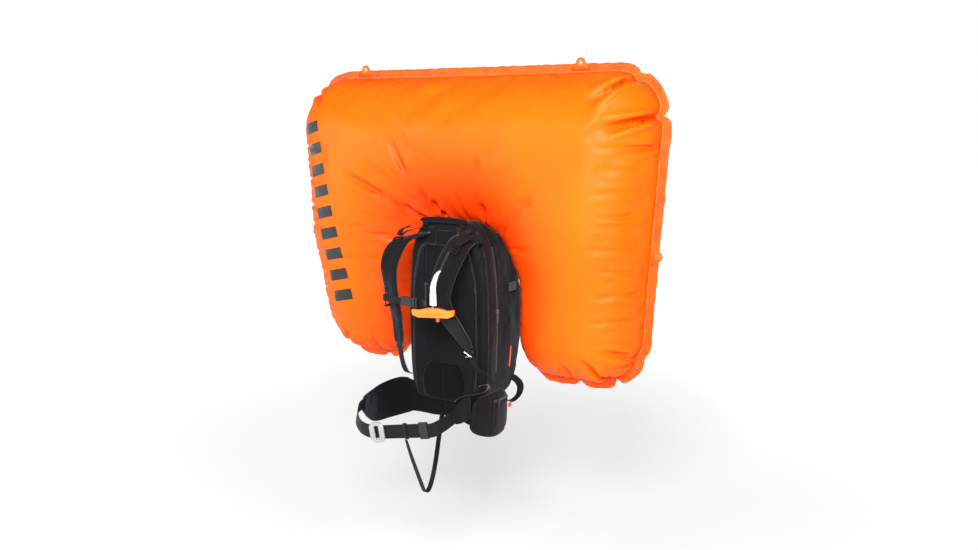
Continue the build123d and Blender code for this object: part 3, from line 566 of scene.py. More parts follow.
def airbag_panels():
    """Both panels as one welded skin: rolled edges, creases and puckers, settled under pressure."""
    plain = outline_points(PANEL_SPACING)
    seam = folded_outline(plain)
    pts, tris, on_seam = panel_pattern(plain, seam)
    gap = edge_distance(pts, outline_points(3.0))
    gap[on_seam] = 0
    reach = np.clip(gap / EDGE_ROLL, 0, 1)
    rise = np.sqrt(1 - (1 - reach) ** 2)
    # the face falls away a long way towards the notch over the bag
    x, z = pts[:, 0], pts[:, 1]
    near = np.clip(line_distance(np.column_stack([x, x, z]), NOTCH) / NOTCH_ROLL, 0, 1)
    crown = NOTCH_DEPTH + (1 - NOTCH_DEPTH) * np.sqrt(1 - (1 - near) ** 2)
    thick = AIRBAG_HALF_T * rise * crown
    wave = np.array([seam_wave(p) for p in pts]) * (1 - rise)
    verts = list(zip(x, SEAM_Y - thick + wave, z))
    back = {}
    for i in range(len(pts)):
        back[i] = i if on_seam[i] else len(verts)
        if not on_seam[i]:
            verts.append((x[i], SEAM_Y + thick[i] + wave[i], z[i]))
    faces = []
    for a, b, c in tris:
        # wind so that the front panel faces the wearer
        turn = (pts[b] - pts[a])[0] * (pts[c] - pts[a])[1] - (pts[b] - pts[a])[1] * (pts[c] - pts[a])[0]
        a, b, c = (a, b, c) if turn > 0 else (a, c, b)
        faces.append((a, b, c))
        faces.append((back[a], back[c], back[b]))
    skin = make("airbag_skin", np.array(verts) * MM, faces, AIRBAG, "pack", "airbag_skin",
                ("airbag_front_panel", "airbag_rear_panel"))
    displace_airbag(skin, big_folds)
    relax(skin, np.nonzero(on_seam)[0], 14, 2.2, 0.016, shrink=-0.012, stiff=25.0, bend=0.8)
    refine(skin)
    displace_airbag(skin, fine_folds)
    # mask for the painted shade in the creases
    mark_fold_shade(skin)
    printed_dashes(skin)
    return seam


def mark_fold_shade(skin):
    """Stores how deep in a crease each point lies, as the mask for the shade painted into the cloth's colour
    in the creases.
    """
    flat = vectors(skin.data.vertices)[:, (0, 2)] / MM
    deep = np.zeros(len(flat))
    for start, end, _, width, bend in FANS[:4]:
        deep = np.maximum(deep, -0.8 * crease(flat, start, end, 1.0, 0.9 * width, 0.0, bend))
    for start, end, _, width in CORNER_CREASES:
        deep = np.maximum(deep, -0.6 * crease(flat, start, end, 1.0, 0.9 * width, 0.0))
    skin.data.attributes.new("fold_shade", "FLOAT", "POINT").data.foreach_set("value", deep)


def printed_dashes(skin):
    """A row of plain equal dashes printed down the right lobe, each laid on the cloth."""
    tree = BVHTree.FromObject(skin, bpy.context.evaluated_depsgraph_get())
    verts, faces = [], []
    top, foot = np.array(DASH_TOP), np.array(DASH_FOOT)
    span = np.linalg.norm(foot - top)
    down = (foot - top) / span
    across = np.array((-down[1], down[0]))
    wide = DASH_GRID + 1
    for n in range(DASHES):
        middle = top + down * span * (n + 0.5) / DASHES
        faces += grid(wide, wide, len(verts), wrap=False)
        for i in range(wide):
            for j in range(wide):
                u, v = i / DASH_GRID - 0.5, j / DASH_GRID - 0.5
                x, z = middle + across * u * DASH_W + down * v * DASH_H
                spot, normal, _, _ = tree.ray_cast(Vector((x * MM, -1.0, z * MM)), Vector((0, 1, 0)))
                verts.append(spot + normal * 0.0012)
    make("printed_dashes", np.array(verts), faces, PRINT, "pack", "airbag_skin")


def inside_outline(points, outline):
    """Which points lie inside the closed outline."""
    result = np.zeros(len(points), bool)
    x, y = points[:, 0], points[:, 1]
    count = len(outline)
    for i in range(count):
        x0, y0 = outline[i]
        x1, y1 = outline[(i + 1) % count]
        crosses = (y0 > y) != (y1 > y)
        if y1 != y0:
            at = x0 + (y - y0) * (x1 - x0) / (y1 - y0)
            result ^= crosses & (x < at)
    return result


def refine(obj):
    """Splits every triangle in four and evens the surface out."""
    bm = bmesh.new()
    bm.from_mesh(obj.data)
    bmesh.ops.subdivide_edges(bm, edges=bm.edges, cuts=1, use_grid_fill=True)
    for _ in range(2):
        bmesh.ops.smooth_vert(bm, verts=bm.verts, factor=0.5, use_axis_x=True, use_axis_y=True,
                              use_axis_z=True)
    bm.to_mesh(obj.data)
    bm.free()
    obj.data.polygons.foreach_set("use_smooth", [True] * len(obj.data.polygons))


def apply_modifiers(obj):
    """Writes the evaluated mesh back and drops the modifiers."""
    done = bpy.data.meshes.new_from_object(obj.evaluated_get(bpy.context.evaluated_depsgraph_get()))
    mats = list(obj.data.materials)
    obj.modifiers.clear()
    obj.data = done
    done.materials.clear()
    for mat in mats:
        done.materials.append(mat)
    done.polygons.foreach_set("use_smooth", [True] * len(done.polygons))


def displace_airbag(obj, rule):
    """Moves each point along its normal by a rule of x, z, side and distance from the seam."""
    seam = folded_outline(outline_points(4.0))

    def move(points, normals):
        flat = points[:, (0, 2)]
        return rule(flat, edge_distance(flat, seam), points[:, 1] < SEAM_Y, points * MM)

    ruffle(obj, move)


def big_folds(flat, gap, front, co):
    """Corner folds on both sides and the fan of creases over the bag on the front."""
    move = np.zeros(len(flat))
    free = np.clip(gap / 6, 0, 1)
    for start, end, depth, width in CORNER_CREASES:
        move += crease(flat, start, end, depth, width, 0.45)
    for start, end, depth, width, bend in FANS:
        share = np.where(front, 1.0, 0.75)
        move += share * crease(flat, start, end, depth, width, 0.35, bend)
    return move * free


def fan_line(centre_x, angle, near, far):
    """The two ends of a line that runs out from a centre on the notch's shoulder."""
    along = np.array((math.cos(angle), math.sin(angle)))
    centre = np.array((centre_x, 430))
    return centre + near * along, centre + far * along


def fine_folds(flat, gap, front, co):
    """Short puckers along the seams, fine lines fanning from the notch, and a slight unevenness."""
    random.seed(7)
    move = np.zeros(len(flat))
    free = np.clip(gap / 10, 0, 1)
    for height, reach, depth in SIDE_PUCKERS:
        edge_x = 540 + 50 * (height - 33) / 850
        tilt = random.uniform(-12, 14)
        for side in (1, -1):
            drop = random.uniform(-16, 16) if side < 0 else 0
            if side < 0:
                edge_x = float(np.interp(height, [33, 396, 883], [478, 563, 590]))
            start = (side * (edge_x - 8), height + drop)
            end = (side * (edge_x - 8 - reach), height + drop + tilt)
            move += crease(flat, start, end, depth * (1.0 if side > 0 else 0.8), 6.0, 0.5)
    for k in range(34):
        x = -500 + k * 30.5 + random.uniform(-8, 8)
        reach, depth = random.uniform(30, 75), random.uniform(1.2, 3.2)
        move += crease(flat, (x, 878), (x + random.uniform(-12, 12), 878 - reach), depth, 6.0, 0.4)
    for side in (1, -1):
        for k in range(11):
            x = side * (190 + k * 30 + random.uniform(-7, 7))
            reach, depth = random.uniform(35, 95), random.uniform(2.0, 4.5)
            move += crease(flat, (x, 38), (x + random.uniform(-10, 10), 38 + reach), depth, 6.5, 0.45)
        for k in range(12):
            z = 60 + k * 30 + random.uniform(-8, 8)
            reach, depth = random.uniform(35, 80), random.uniform(1.5, 3.5)
            move += crease(flat, (side * 158, z), (side * (158 + reach), z + random.uniform(-12, 16)), depth,
                           6.0, 0.4)
    # fine lines that fan out beyond the notch's shoulders
    for k in range(30):
        angle = math.radians(100 + 92 * k / 29 + random.uniform(-2, 2))
        near, far = random.uniform(120, 190), random.uniform(250, 330)
        start, end = fan_line(-60, angle, near, far)
        depth = random.uniform(1.6, 3.4)
        move += np.where(front, 1.0, 0.7) * crease(flat, start, end, depth, 5.0, 0.5,
                                                   random.uniform(-0.03, 0.03))
    for k in range(12):
        angle = math.radians(80 - 76 * k / 11 + random.uniform(-2, 2))
        near, far = random.uniform(110, 160), random.uniform(190, 300)
        start, end = fan_line(60, angle, near, far)
        move += crease(flat, start, end, random.uniform(0.7, 1.6), 5.5, 0.5)
    slow = np.array([noise.noise(Vector(p) * 11.0) for p in co])
    quick = np.array([noise.noise(Vector(p) * 34.0) for p in co])
    move += slow * 3.2 * np.clip(gap / 60, 0, 1) + quick * 0.7
    move += 0.7 * big_folds(flat, gap, front, co)
    return move * free


def seam_flange(seam):
    """The welded border outside the seam, wavy and a little creased, with a weld line and holed tabs."""
    smooth = -inward(seam)
    for _ in range(3):
        smooth = (np.roll(smooth, 1, axis=0) + smooth + np.roll(smooth, -1, axis=0)) / 3
    smooth = units(smooth)
    keep = [i for i, p in enumerate(seam) if abs(p[0]) >= NOTCH_HALF_W or p[1] >= NOTCH_CLEAR_Z]
    # the run starts after the notch so that the strip is one piece
    after = next(k for k in range(1, len(keep)) if keep[k] != keep[k - 1] + 1)
    run = keep[after:] + keep[:after]
    columns = [(-11.0, 0.0), (-3.0, 0.0), (2.0, 0.4), (6.0, 0.7), (13.0, 1.0), (19.0, 1.0), (FLANGE_W, 0.9)]
    verts = []
    for n, i in enumerate(run):
        p, out = seam[i], smooth[i]
        flutter = 3.0 * noise.noise(Vector((p[0] * 0.035, p[1] * 0.035, 8.0)))
        edge = 1 + 0.10 * noise.noise(Vector((p[0] * 0.05, p[1] * 0.05, 1.0)))
        taper = min(1.0, n / 6, (len(run) - 1 - n) / 6)
        taper *= 1 - 0.5 * min(max((-p[0] - 480) / 60, 0), 1) * (1 - math.exp(-((p[1] - 396) / 40) ** 2))
        for reach, share in columns:
            q = p + out * (reach * edge * (taper if reach > 0 else 1))
            verts.append((q[0], SEAM_Y + seam_wave(p) + flutter * share * reach / FLANGE_W, q[1]))
    faces = grid(len(run), len(columns), wrap=False)
    welded = np.array(verts)[2::len(columns)]
    weld = [tube(welded + (0, side * 1.6, 0), 1.5, around=6) for side in (-1, 1)]
    for x, z in EYELETS + [(eyelet_side_x(), 396), (-eyelet_side_x(), 396)]:
        add_tab(verts, faces, x, z)
    flange = make("airbag_flange", np.array(verts) * MM, faces, SEAM, "pack", "airbag_seam",
                  ("airbag_seam_flange",))
    thick = flange.modifiers.new("double", "SOLIDIFY")
    thick.thickness = 0.0018
    thick.offset = 0
    apply_modifiers(flange)
    merge("airbag_weld_line", weld, WELD, "pack", "airbag_seam")


def eyelet_side_x():
    """The side tabs' distance from the middle, from the frame's own eyelets."""
    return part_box("airbag_eyelets")[1][0] / MM - 8


def add_tab(verts, faces, x, z):
    """A pointed tab around an eyelet hole, its foot merging into the border."""
    base, around = len(verts), 24
    foot = np.array((0.0, -1.0)) if z > 800 else np.array((-math.copysign(1, x), 0.0))
    beside = np.array((-foot[1], foot[0]))
    for k in range(around):
        a = 2 * math.pi * k / around
        d = np.array((math.cos(a), math.sin(a)))
        toward = max(0.0, float(np.dot(d, foot)))
        outer = TAB_R + 9.0 * toward ** 2
        wide = d * outer + beside * 20.0 * toward * (1 if np.dot(d, beside) > 0 else -1)
        for out in (d * HOLE_R, d * HOLE_RIM_R, wide):
            verts.append((x + out[0], SEAM_Y, z + out[1]))
    for k in range(around):
        a, b = base + 3 * k, base + 3 * ((k + 1) % around)
        faces.append((a, b, b + 1, a + 1))
        faces.append((a + 1, b + 1, b + 2, a + 2))


# ---------------------------------------------------------------- bag

# height, half width, depth and corner radius of the bag, bottom to top
BAG = [(-62, 106, 130, 26), (-35, 121, 180, 30), (20, 129, 209, 32), (120, 133, 233, 32),
       (230, 133, 233, 32), (330, 127, 212, 34), (405, 114, 170, 34), (450, 91, 112, 30), (470, 68, 56, 24)]
SHELL_Y = 26.0
FRONT_R = 15.0  # radius of the bag's front corners
BAG_CURVE = spline(BAG, 160)


def bag_section(z):
    """Half width, depth and corner radius of the bag at a height."""
    return [float(np.interp(z, BAG_CURVE[:, 0], BAG_CURVE[:, k])) for k in (1, 2, 3)]


def bag_side(y, z, lift=0.0, side=1):
    """A point on the bag's side wall, lifted off it along the wall's normal."""
    half_w, depth, rear_r = bag_section(z)
    y0, y1 = SHELL_Y, SHELL_Y + depth
    r = FRONT_R if y < y0 + FRONT_R else rear_r
    mid = min(max(y, y0 + FRONT_R), y1 - rear_r)
    out = y - mid
    across = math.sqrt(max(r * r - out * out, 0))
    reach = 1 + lift / r
    return np.array((side * (half_w - r + across * reach), mid + out * reach, z))


def rounded_ring(half_w, y0, y1, r, per_side=22, per_corner=11, front_r=None):
    """Points round a rounded rectangle in x and y, starting on the front at -X and going to +X."""
    ring = []
    f = r if front_r is None else min(front_r, r)
    corners = [(half_w - f, y0 + f, -90, f), (half_w - r, y1 - r, 0, r), (-half_w + r, y1 - r, 90, r),
               (-half_w + f, y0 + f, 180, f)]
    starts = [(-half_w + f, y0), (half_w, y0 + f), (half_w - r, y1), (-half_w, y1 - r)]
    ends = [(half_w - f, y0), (half_w, y1 - r), (-half_w + r, y1), (-half_w, y0 + f)]
    for (cx, cy, turn, radius), a, b in zip(corners, starts, ends):
        for t in np.linspace(0, 1, per_side, endpoint=False):
            ring.append((a[0] + (b[0] - a[0]) * t, a[1] + (b[1] - a[1]) * t))
        for t in np.linspace(0, 90, per_corner, endpoint=False):
            angle = math.radians(turn + t)
            ring.append((cx + radius * math.cos(angle), cy + radius * math.sin(angle)))
    return np.array(ring)


def level(outline, z):
    """An outline in x and y as points at a height."""
    return np.column_stack([outline, np.full(len(outline), z)])


def upright(outline, y):
    """An outline in x and z as points at a depth."""
    return np.column_stack([outline[:, 0], np.full(len(outline), y), outline[:, 1]])


def stack(rings, caps=(0.75, 0.45, 0.2)):
    """Closed rings of points joined into one skin, each end closed by smaller rings and a middle point."""
    def shrunk(ring):
        middle = ring.mean(axis=0)
        return [middle + (ring - middle) * c for c in caps]
    rows = shrunk(rings[0])[::-1] + list(rings) + shrunk(rings[-1])
    n = len(rings[0])
    verts = [tuple(p * MM) for row in rows for p in row]
    faces = grid(len(rows), n)
    for row, start, flip in ((rows[0], 0, True), (rows[-1], (len(rows) - 1) * n, False)):
        verts.append(tuple(row.mean(axis=0) * MM))
        middle = len(verts) - 1
        for k in range(n):
            a, b = start + k, start + (k + 1) % n
            faces.append((b, a, middle) if flip else (a, b, middle))
    return verts, faces


def ruffle(obj, rule):
    """Moves each point along its normal by a rule of its place and normal, in millimetres."""
    mesh = obj.data
    places, normals = vectors(mesh.vertices), vectors(mesh.vertex_normals, "vector")
    places += normals * (rule(places / MM, normals) * MM)[:, None]
    mesh.vertices.foreach_set("co", places.ravel())
    mesh.update()


def groove(distance, depth, width):
    """A sewn line: a narrow dip with the cloth swelling beside it."""
    swell = np.exp(-((np.abs(distance) - 2.4 * width) / (1.3 * width)) ** 2)
    return depth * (0.45 * swell - np.exp(-(distance / width) ** 2))


TOOTH_PITCH = 1.5
ZIP_Y = 86.0
SIDE_SEAM_Y = 146.0
FRONT_SEAM_Y = 40.0
STRAP_Z = 274.0


def bag_creases(points, normals):
    """Long soft folds down the bag, seams on its sides, and small crumples near its top and bottom."""
    x, y, z = points.T
    side = np.clip((np.abs(normals[:, 0]) - 0.35) / 0.3, 0, 1)
    back = np.clip(normals[:, 1], 0, 1)
    tall = unit_noise(points * (1.0, 1.0, 0.28), 0.022, 5.0)
    small = unit_noise(points * (1.0, 1.0, 0.55), 0.055, 9.0)
    slant = unit_noise(np.stack([x, y * 0.8 + z * 0.5, z * 0.35], axis=1), 0.045, 2.0)
    move = 3.4 * tall + 1.3 * small
    move += 1.8 * slant * np.clip((150 - z) / 120, 0, 1)
    move += 2.0 * slant * np.clip((z - 330) / 80, 0, 1)
    # calm beside the frame, along the zips and under the compression straps
    taut = np.minimum(np.abs(y - ZIP_Y) / 12, np.abs(z - STRAP_Z) / 22)
    calm = np.clip(np.abs(y - SHELL_Y) / 14, 0, 1) * (1 - side * (1 - np.clip(taut, 0.15, 1)))
    move *= calm
    move -= 0.7 * side * np.exp(-((z - STRAP_Z) / 14) ** 2)
    move += side * groove(y - ZIP_Y, 1.2, 5.0) * (z > 20)
    move += side * groove(y - SIDE_SEAM_Y - 0.10 * (z - 200), 1.8, 2.2)
    move += side * groove(y - FRONT_SEAM_Y, 1.6, 2.0)
    move += groove(z - 6 + 0.25 * (y - 120), 1.4, 2.2) * np.maximum(side, back)
    move += groove(z - 372 - 0.10 * (y - 60), 1.6, 2.2) * np.maximum(side, back)
    return move


def bag_body():
    """The main compartment: a lofted cloth shell with seams, folds and piping."""
    rings = []

    def add_ring(z, at, inset, front, round_off):
        half_w, depth, r = bag_section(at)
        outline = rounded_ring(half_w - inset * round_off, SHELL_Y + inset * front,
                               SHELL_Y + depth - inset * round_off, r - (inset * 0.4 if at > 0 else 0),
                               front_r=FRONT_R)
        rings.append(level(outline, z))

    foot, edge = BAG[0][0], 18.0
    for angle in np.radians(np.linspace(0, 80, 6)):
        z = foot + edge * (1 - math.cos(angle)) * 0.5 + math.sin(angle) * 0.01
        add_ring(z, foot, edge * (1 - math.sin(angle)), 0.5, 0.7)
    for z in np.arange(-50, 461, 5.0):
        add_ring(z, z, 0.0, 0.0, 1.0)
    for angle in np.radians((30, 60, 85)):
        add_ring(460 + 10 * math.sin(angle), 462, 14 * (1 - math.cos(angle)), 0.4, 1.0)
    verts, faces = stack(rings)
    body = make("bag_body", verts, faces, BODY_CLOTH, "pack", "bag_fabric", ("pack_shell",))
    flat = np.array(verts) / MM
    strapped = (np.abs(flat[:, 2] - STRAP_Z) < 10) & (np.abs(flat[:, 0]) > 80)
    held = np.nonzero((flat[:, 1] < SHELL_Y + 3) | (np.abs(flat[:, 1] - ZIP_Y) < 8) | strapped)[0]
    relax(body, held, 8, 1.2, 0.003, stiff=30.0)
    ruffle(body, bag_creases)

    piping = []
    for side in (1, -1):
        heights = np.arange(-40, 452, 6.0)
        piping.append(tube([bag_side(FRONT_SEAM_Y, z, 0.9, side) for z in heights], 1.7))
        heights = np.arange(-30, 372, 6.0)
        piping.append(tube([bag_side(SIDE_SEAM_Y + 0.10 * (z - 200), z, 0.2, side) for z in heights], 1.2))
    merge("bag_piping", piping, BINDING, "pack", "bag_fabric")


def tool_pocket():
    """The front pocket on the bag's rear face, with its sewn lines, its arched zip and two webbing loops."""
    sections = spline([(-20, 78, 14, 26), (60, 92, 26, 30), (200, 96, 30, 30), (300, 88, 26, 30),
                       (350, 70, 16, 26)], 80)

    def section(z):
        return [float(np.interp(z, sections[:, 0], sections[:, k])) for k in (1, 2, 3)]

    rings = []
    for t in np.linspace(0, 1, 76):
        z = -20 + 370 * t
        half_w, rear, r = section(z)
        depth = bag_section(z)[1]
        close = min(1.0, min(t, 1 - t) / 0.07)
        swell = math.sqrt(1 - (1 - close) ** 2)
        outline = rounded_ring(half_w - 12 * (1 - swell), SHELL_Y + depth - 24,
                               SHELL_Y + depth - 8 + rear * (0.35 + 0.65 * swell), min(r, 22), 18, 8)
        rings.append(level(outline, z))
    verts, faces = stack(rings)
    pocket = make("tool_pocket_cloth", verts, faces, BODY_CLOTH, "pack", "bag_fabric", ("tool_pocket",))
    flat = np.array(verts) / MM
    inner = flat[:, 1] < SHELL_Y + np.array([bag_section(z)[1] for z in flat[:, 2]]) + 1
    relax(pocket, np.nonzero(inner)[0], 8, 1.2, 0.004, stiff=30.0)
    ruffle(pocket, lambda p, n: (2.6 * unit_noise(p * (1, 1, 0.4), 0.03, 4.0) + 1.0
                                 * unit_noise(p, 0.07, 8.0)) * np.clip(n[:, 1], 0, 1)
           + groove(np.abs(p[:, 0]) - 62, 1.4, 2.2) * np.clip(n[:, 1], 0, 1))

    def on_pocket(x, z, lift):
        half_w, rear, r = section(z)
        over = max(abs(x) - (half_w - min(r, 22)), 0)
        drop = min(r, 22) - math.sqrt(max(min(r, 22) ** 2 - over ** 2, 0))
        return np.array((x, SHELL_Y + bag_section(z)[1] - 8 + rear - drop + lift, z))

    arch = [on_pocket(78 * math.cos(a), 250 + 74 * math.sin(a), 1.5)
            for a in np.linspace(0.12, math.pi - 0.12, 40)]
    zip_line("pocket_arch_zip", arch, [(0, 1, 0)] * len(arch), 8.0, "pack", "zip", ())
    straps = []
    for x in (-30, 30):
        straps.append(tube([on_pocket(x, z, 2.2) for z in np.linspace(30, 205, 30)], 7.0, around=14,
                           flat=0.22))
    merge("tool_loops", straps, WEBBING, "pack", "webbing")


def zip_line(name, points, normals, width, body, slot, replaces):
    """A zip: two tapes with a raised coil of fine teeth between them, along points in millimetres."""
    pts = spline(points, max(12, int(run_along(np.array(points))[-1] / TOOTH_PITCH)))
    norms = spline(normals, len(pts)) if len(normals) > 2 else np.repeat([normals[0]], len(pts), axis=0)
    norms = units(norms)
    side = units(np.cross(units(np.gradient(pts, axis=0)), norms))
    profile = [(-0.5, -0.4), (-0.48, 0.35), (-0.22, 0.45), (-0.16, 0.75), (0.16, 0.75), (0.22, 0.45),
               (0.48, 0.35), (0.5, -0.4)]
    verts = []
    for i, (p, n, s) in enumerate(zip(pts, norms, side)):
        tooth = 0.35 if i % 2 else -0.1
        for u, v in profile:
            verts.append((p + s * u * width + n * (v + (tooth if abs(u) < 0.2 else 0.0))) * MM)
    faces = grid(len(pts), len(profile)) + ends(len(pts), len(profile))
    return make(name, verts, faces, ZIP_TAPE, body, slot, replaces, smooth=False)


# ---------------------------------------------------------------- padding

def cushion(outline, y_front, y_back, roll, rings=22, edge_share=0.7):
    """A crowned pad in x and z that bulges from its edge towards the wearer, with a flat back."""
    middle = outline.mean(axis=0)
    size = np.linalg.norm(outline - middle, axis=1).min()
    rise_y = y_back - y_front
    rows = []
    for j in range(rings + 1):
        share = (j / rings) ** 1.25 * 0.97
        height = math.sqrt(1 - (1 - min(1.0, share * size / roll)) ** 2)
        y = y_back - rise_y * ((1 - edge_share) + edge_share * height)
        rows.append(upright(outline + (middle - outline) * share, y))
    back = [upright(outline + (middle - outline) * share, y_back) for share in (0.02, 0.5, 0.9)]
    return stack(back[::-1] + rows, caps=(0.5,))


def closed_outline(corners, count, radius=14.0):
    """A polygon's outline in x and z with its corners rounded, evenly spaced."""
    pts = []
    for here, a, b in corner_arms(corners):
        for t in np.linspace(0, 1, 9):
            pts.append(here + a * radius * (1 - t) ** 2 + b * radius * t ** 2)
    return evenly(np.array(pts), count)


def line_distance(points, line):
    """Distance in x and z from each point to a broken line."""
    flat = points[:, (0, 2)]
    best = np.full(len(points), 1e9)
    for a, b in zip(line, line[1:]):
        a, b = np.array(a, float), np.array(b, float)
        t = np.clip((flat - a) @ (b - a) / np.dot(b - a, b - a), 0, 1)
        best = np.minimum(best, np.linalg.norm(flat - a - t[:, None] * (b - a), axis=1))
    return best


CHANNEL = [(60, 398), (62, 240), (57, 100), (50, 58)]
PANEL = [(-98, -56), (98, -56), (108, 60), (104, 300), (78, 404), (-78, 404), (-104, 300), (-108, 60)]
LUMBAR = [(-62, -52), (62, -52), (74, 10), (52, 62), (-52, 62), (-74, 10)]


def back_panel():
    """The contact back: two long pads beside a sunk channel, the yoke pad above and the lumbar pad below."""
    outline = closed_outline(PANEL, 300, 26)
    panel = make("back_panel", *cushion(outline, 8.0, 25.0, 11.0, 40), PAD_CLOTH, "pack", "padding",
                 ("back_pad",))

    def shape(points, normals):
        front = normals[:, 1] < -0.3
        mirror = points * (np.sign(points[:, 0])[:, None] * np.array((1, 0, 0)) + np.array((0, 1, 1)))
        far = line_distance(mirror, CHANNEL)
        inside = np.abs(points[:, 0]) < np.interp(points[:, 2], [58, 100, 240, 398], [50, 57, 62, 60])
        sunk = np.where(inside & (points[:, 2] > 50), -3.2 * np.clip(far / 9, 0, 1), 0.0)
        wrinkle = 0.9 * unit_noise(points, 0.03, 3.0) + 0.5 * unit_noise(points * (1, 1, 0.4), 0.08, 6.0)
        return np.where(front, sunk - 2.6 * np.exp(-(far / 2.4) ** 2) + wrinkle, 0.0)

    ruffle(panel, shape)
    lumbar = make("lumbar_cushion", *cushion(closed_outline(LUMBAR, 200, 18), 0.2, 9.5, 13.0, 24, 0.8),
                  MESH_CLOTH, "pack", "padding", ("lumbar_pad",))
    ruffle(lumbar, lambda p, n: np.where(n[:, 1] < -0.3,
                                         0.8 * unit_noise(p, 0.035, 1.0) - 1.4
                                         * np.exp(-(line_distance(p, [(0, 44), (0, -40)]) / 2.5) ** 2), 0.0))
    yoke = make("yoke_pad", *cushion(closed_outline([(-30, 406), (30, 406), (27, 447), (-27, 447)], 90, 9),
                                     9.5, 26, 7, 12), PAD_CLOTH, "pack", "padding")
    ruffle(yoke, lambda p, n: 0.7 * unit_noise(p, 0.06, 2.0))
    rim = upright(outline, 16.0)
    middle = rim.mean(axis=0)
    rim = middle + (rim - middle) * 1.006
    merge("back_panel_binding", [tube(rim, 2.2, closed=True)], BINDING, "pack", "padding")
    threads = []
    for side in (1, -1):
        for shift in (-4.5, 4.5):
            line = spline([(side * (x + shift), 8.6, z) for x, z in CHANNEL], 60)
            threads.append(stitches(line, [(0, -1, 0)] * len(line), radius=0.35))
    merge("back_panel_stitches", threads, BINDING, "pack", "padding")


def padded_strap(name, stations, body, node, count=90, mat=None, seed=0.0, around=40, grooves=(),
                 wrinkle=1.2):
    """A padded strap: settled cloth over foam, bound edges, stitched lines and shallow wrinkles."""
    skin = sweep(stations, count, "pad", around=around, round_ends=0.05)
    strap = make(name, *skin, mat or PAD_CLOTH, body, "padding", (node,))
    profile = ring_profile("pad", around)
    edge = [i * around + k for i in range(count) for k, (u, _) in enumerate(profile) if abs(u) > 0.93]
    relax(strap, sorted(set(edge + sum(ends(count, around), []))), 8, 1.5, PAD_SETTLE, stiff=20.0)
    centres, _, across, normal, width, thick = frames_along(stations, count)

    def shape(points, normals):
        gaps = np.linalg.norm(points[:, None, :] - centres[None, :, :], axis=2)
        near = gaps.argmin(axis=1)
        off = np.einsum("ij,ij->i", points - centres[near], across[near]) / (width[near] / 2)
        face = np.clip(np.abs(np.einsum("ij,ij->i", normals, normal[near])) * 1.6 - 0.4, 0, 1)
        move = wrinkle * (unit_noise(points, 0.03, seed) + 0.5 * unit_noise(points, 0.08, seed + 3))
        for place in grooves:
            move += groove((off - place) * width[near] / 2, 1.5, 1.8)
        return move * face

    ruffle(strap, shape)
    bound = [tube(centres + across * (side * (width / 2 - 0.6))[:, None], 1.9, around=10)
             for side in (1, -1)]
    merge(name + "_binding", bound, BINDING, body, "padding")
    rows = []
    for side in (1, -1):
        for face in (1, -1):
            lift = normal * (face * (thick / 2 * 0.86 + 0.4))[:, None]
            line = centres + across * (side * (width / 2 - 6.5))[:, None] + lift
            rows.append(stitches(line[3:-3], (normal * face)[3:-3], radius=0.3))
    merge(name + "_stitches", rows, BINDING, body, "padding")


# ---------------------------------------------------------------- harness

STRAP_LEFT = [((76, 19, 428), (1, 0, -0.35), 60, 11), ((82, -30, 418), (1, 0, -0.45), 62, 12),
              ((86, -66, 396), (1, 0, -0.50), 64, 12), ((88, -112, 354), (1, 0, -0.40), 64, 12),
              ((88, -140, 305), (1, 0, -0.20), 64, 12), ((88, -141, 280), (1, 0, 0), 63, 12),
              ((88, -118, 240), (1, 0, 0), 62, 12), ((88, -92, 212), (1, 0, 0), 60, 12),
              ((90, -60, 178), (1, 0, 0), 54, 11), ((96, -34, 146), (1, 0, 0), 44, 10),
              ((101, -20, 124), (1, 0, 0), 32, 8)]
STRAP_RIGHT = [((-76, 19, 428), (1, 0, 0.35), 60, 11), ((-83, -32, 428), (1, 0, 0.25), 62, 12),
               ((-90, -84, 412), (1, 0, 0.1), 64, 12), ((-93, -118, 368), (1, -0.15, 0), 64, 12),
               ((-93, -121, 316), (1, -0.35, 0), 64, 12), ((-93, -104, 260), (1, -0.5, 0), 62, 12),
               ((-94, -86, 198), (1, -0.5, 0), 56, 12), ((-97, -76, 146), (1, -0.4, 0), 44, 10),
               ((-101, -68, 122), (1, -0.3, 0), 32, 8)]
WING_RIGHT = [((-118, 17, -52), (0, 0, 1), 100, 11), ((-146, 4, -58), (0, 0, 1), 112, 12),
              ((-172, -30, -66), (0, 0, 1), 112, 12), ((-181, -75, -68), (0, 0, 1), 104, 12),
              ((-176, -118, -58), (0, 0, 1), 76, 12), ((-167, -148, -48), (0, 0, 1), 54, 11),
              ((-161, -166, -44), (0, 0, 1), 36, 9)]
WING_LEFT = [((118, 17, -45), (0, 0, 1), 100, 11), ((148, 8, -44), (0, 0, 1), 118, 12),
             ((172, -24, -42), (0, 0, 1), 122, 12), ((180, -66, -36), (0, 0, 1), 112, 12),
             ((172, -112, -20), (0, 0, 1), 84, 12), ((160, -148, -7), (0, 0, 1), 62, 11),
             ((153, -176, -3), (0, 0, 1), 42, 9)]
WEB_T = 1.6
SIDEWAYS = (1, 0, 0)
UP = (0, 0, 1)


def band(points, width, across=SIDEWAYS, thick=WEB_T):
    """Stations of a strap whose width, thickness and direction across stay the same."""
    return [(point, across, width, thick) for point in points]


def webbing(name, runs, body, replaces, count=50, mat=None, slot="webbing", sewn=True):
    """Flat woven straps with stitched ends; each run is a list of stations."""
    parts, threads = [], []
    for stations in runs:
        parts.append(sweep(stations, count, "web", around=20))
        centres, along, across, normal, width, thick = frames_along(stations, count)
        for end in (2, count - 3):
            for shift in (-2.5, 2.5):
                for face in (1, -1):
                    reach = width[end] / 2 - 2
                    row = [centres[end] + along[end] * shift + across[end] * w + normal[end] * face
                           * (thick[end] / 2 + 0.1) for w in np.linspace(-reach, reach, 12)]
                    threads.append(stitches(row, [normal[end] * face] * 12, pitch=2.0, length=1.4,
                                            radius=0.3))
    merge(name, parts, mat or WEBBING, body, slot, replaces)
    if sewn:
        merge(name + "_stitches", threads, BINDING, body, slot)


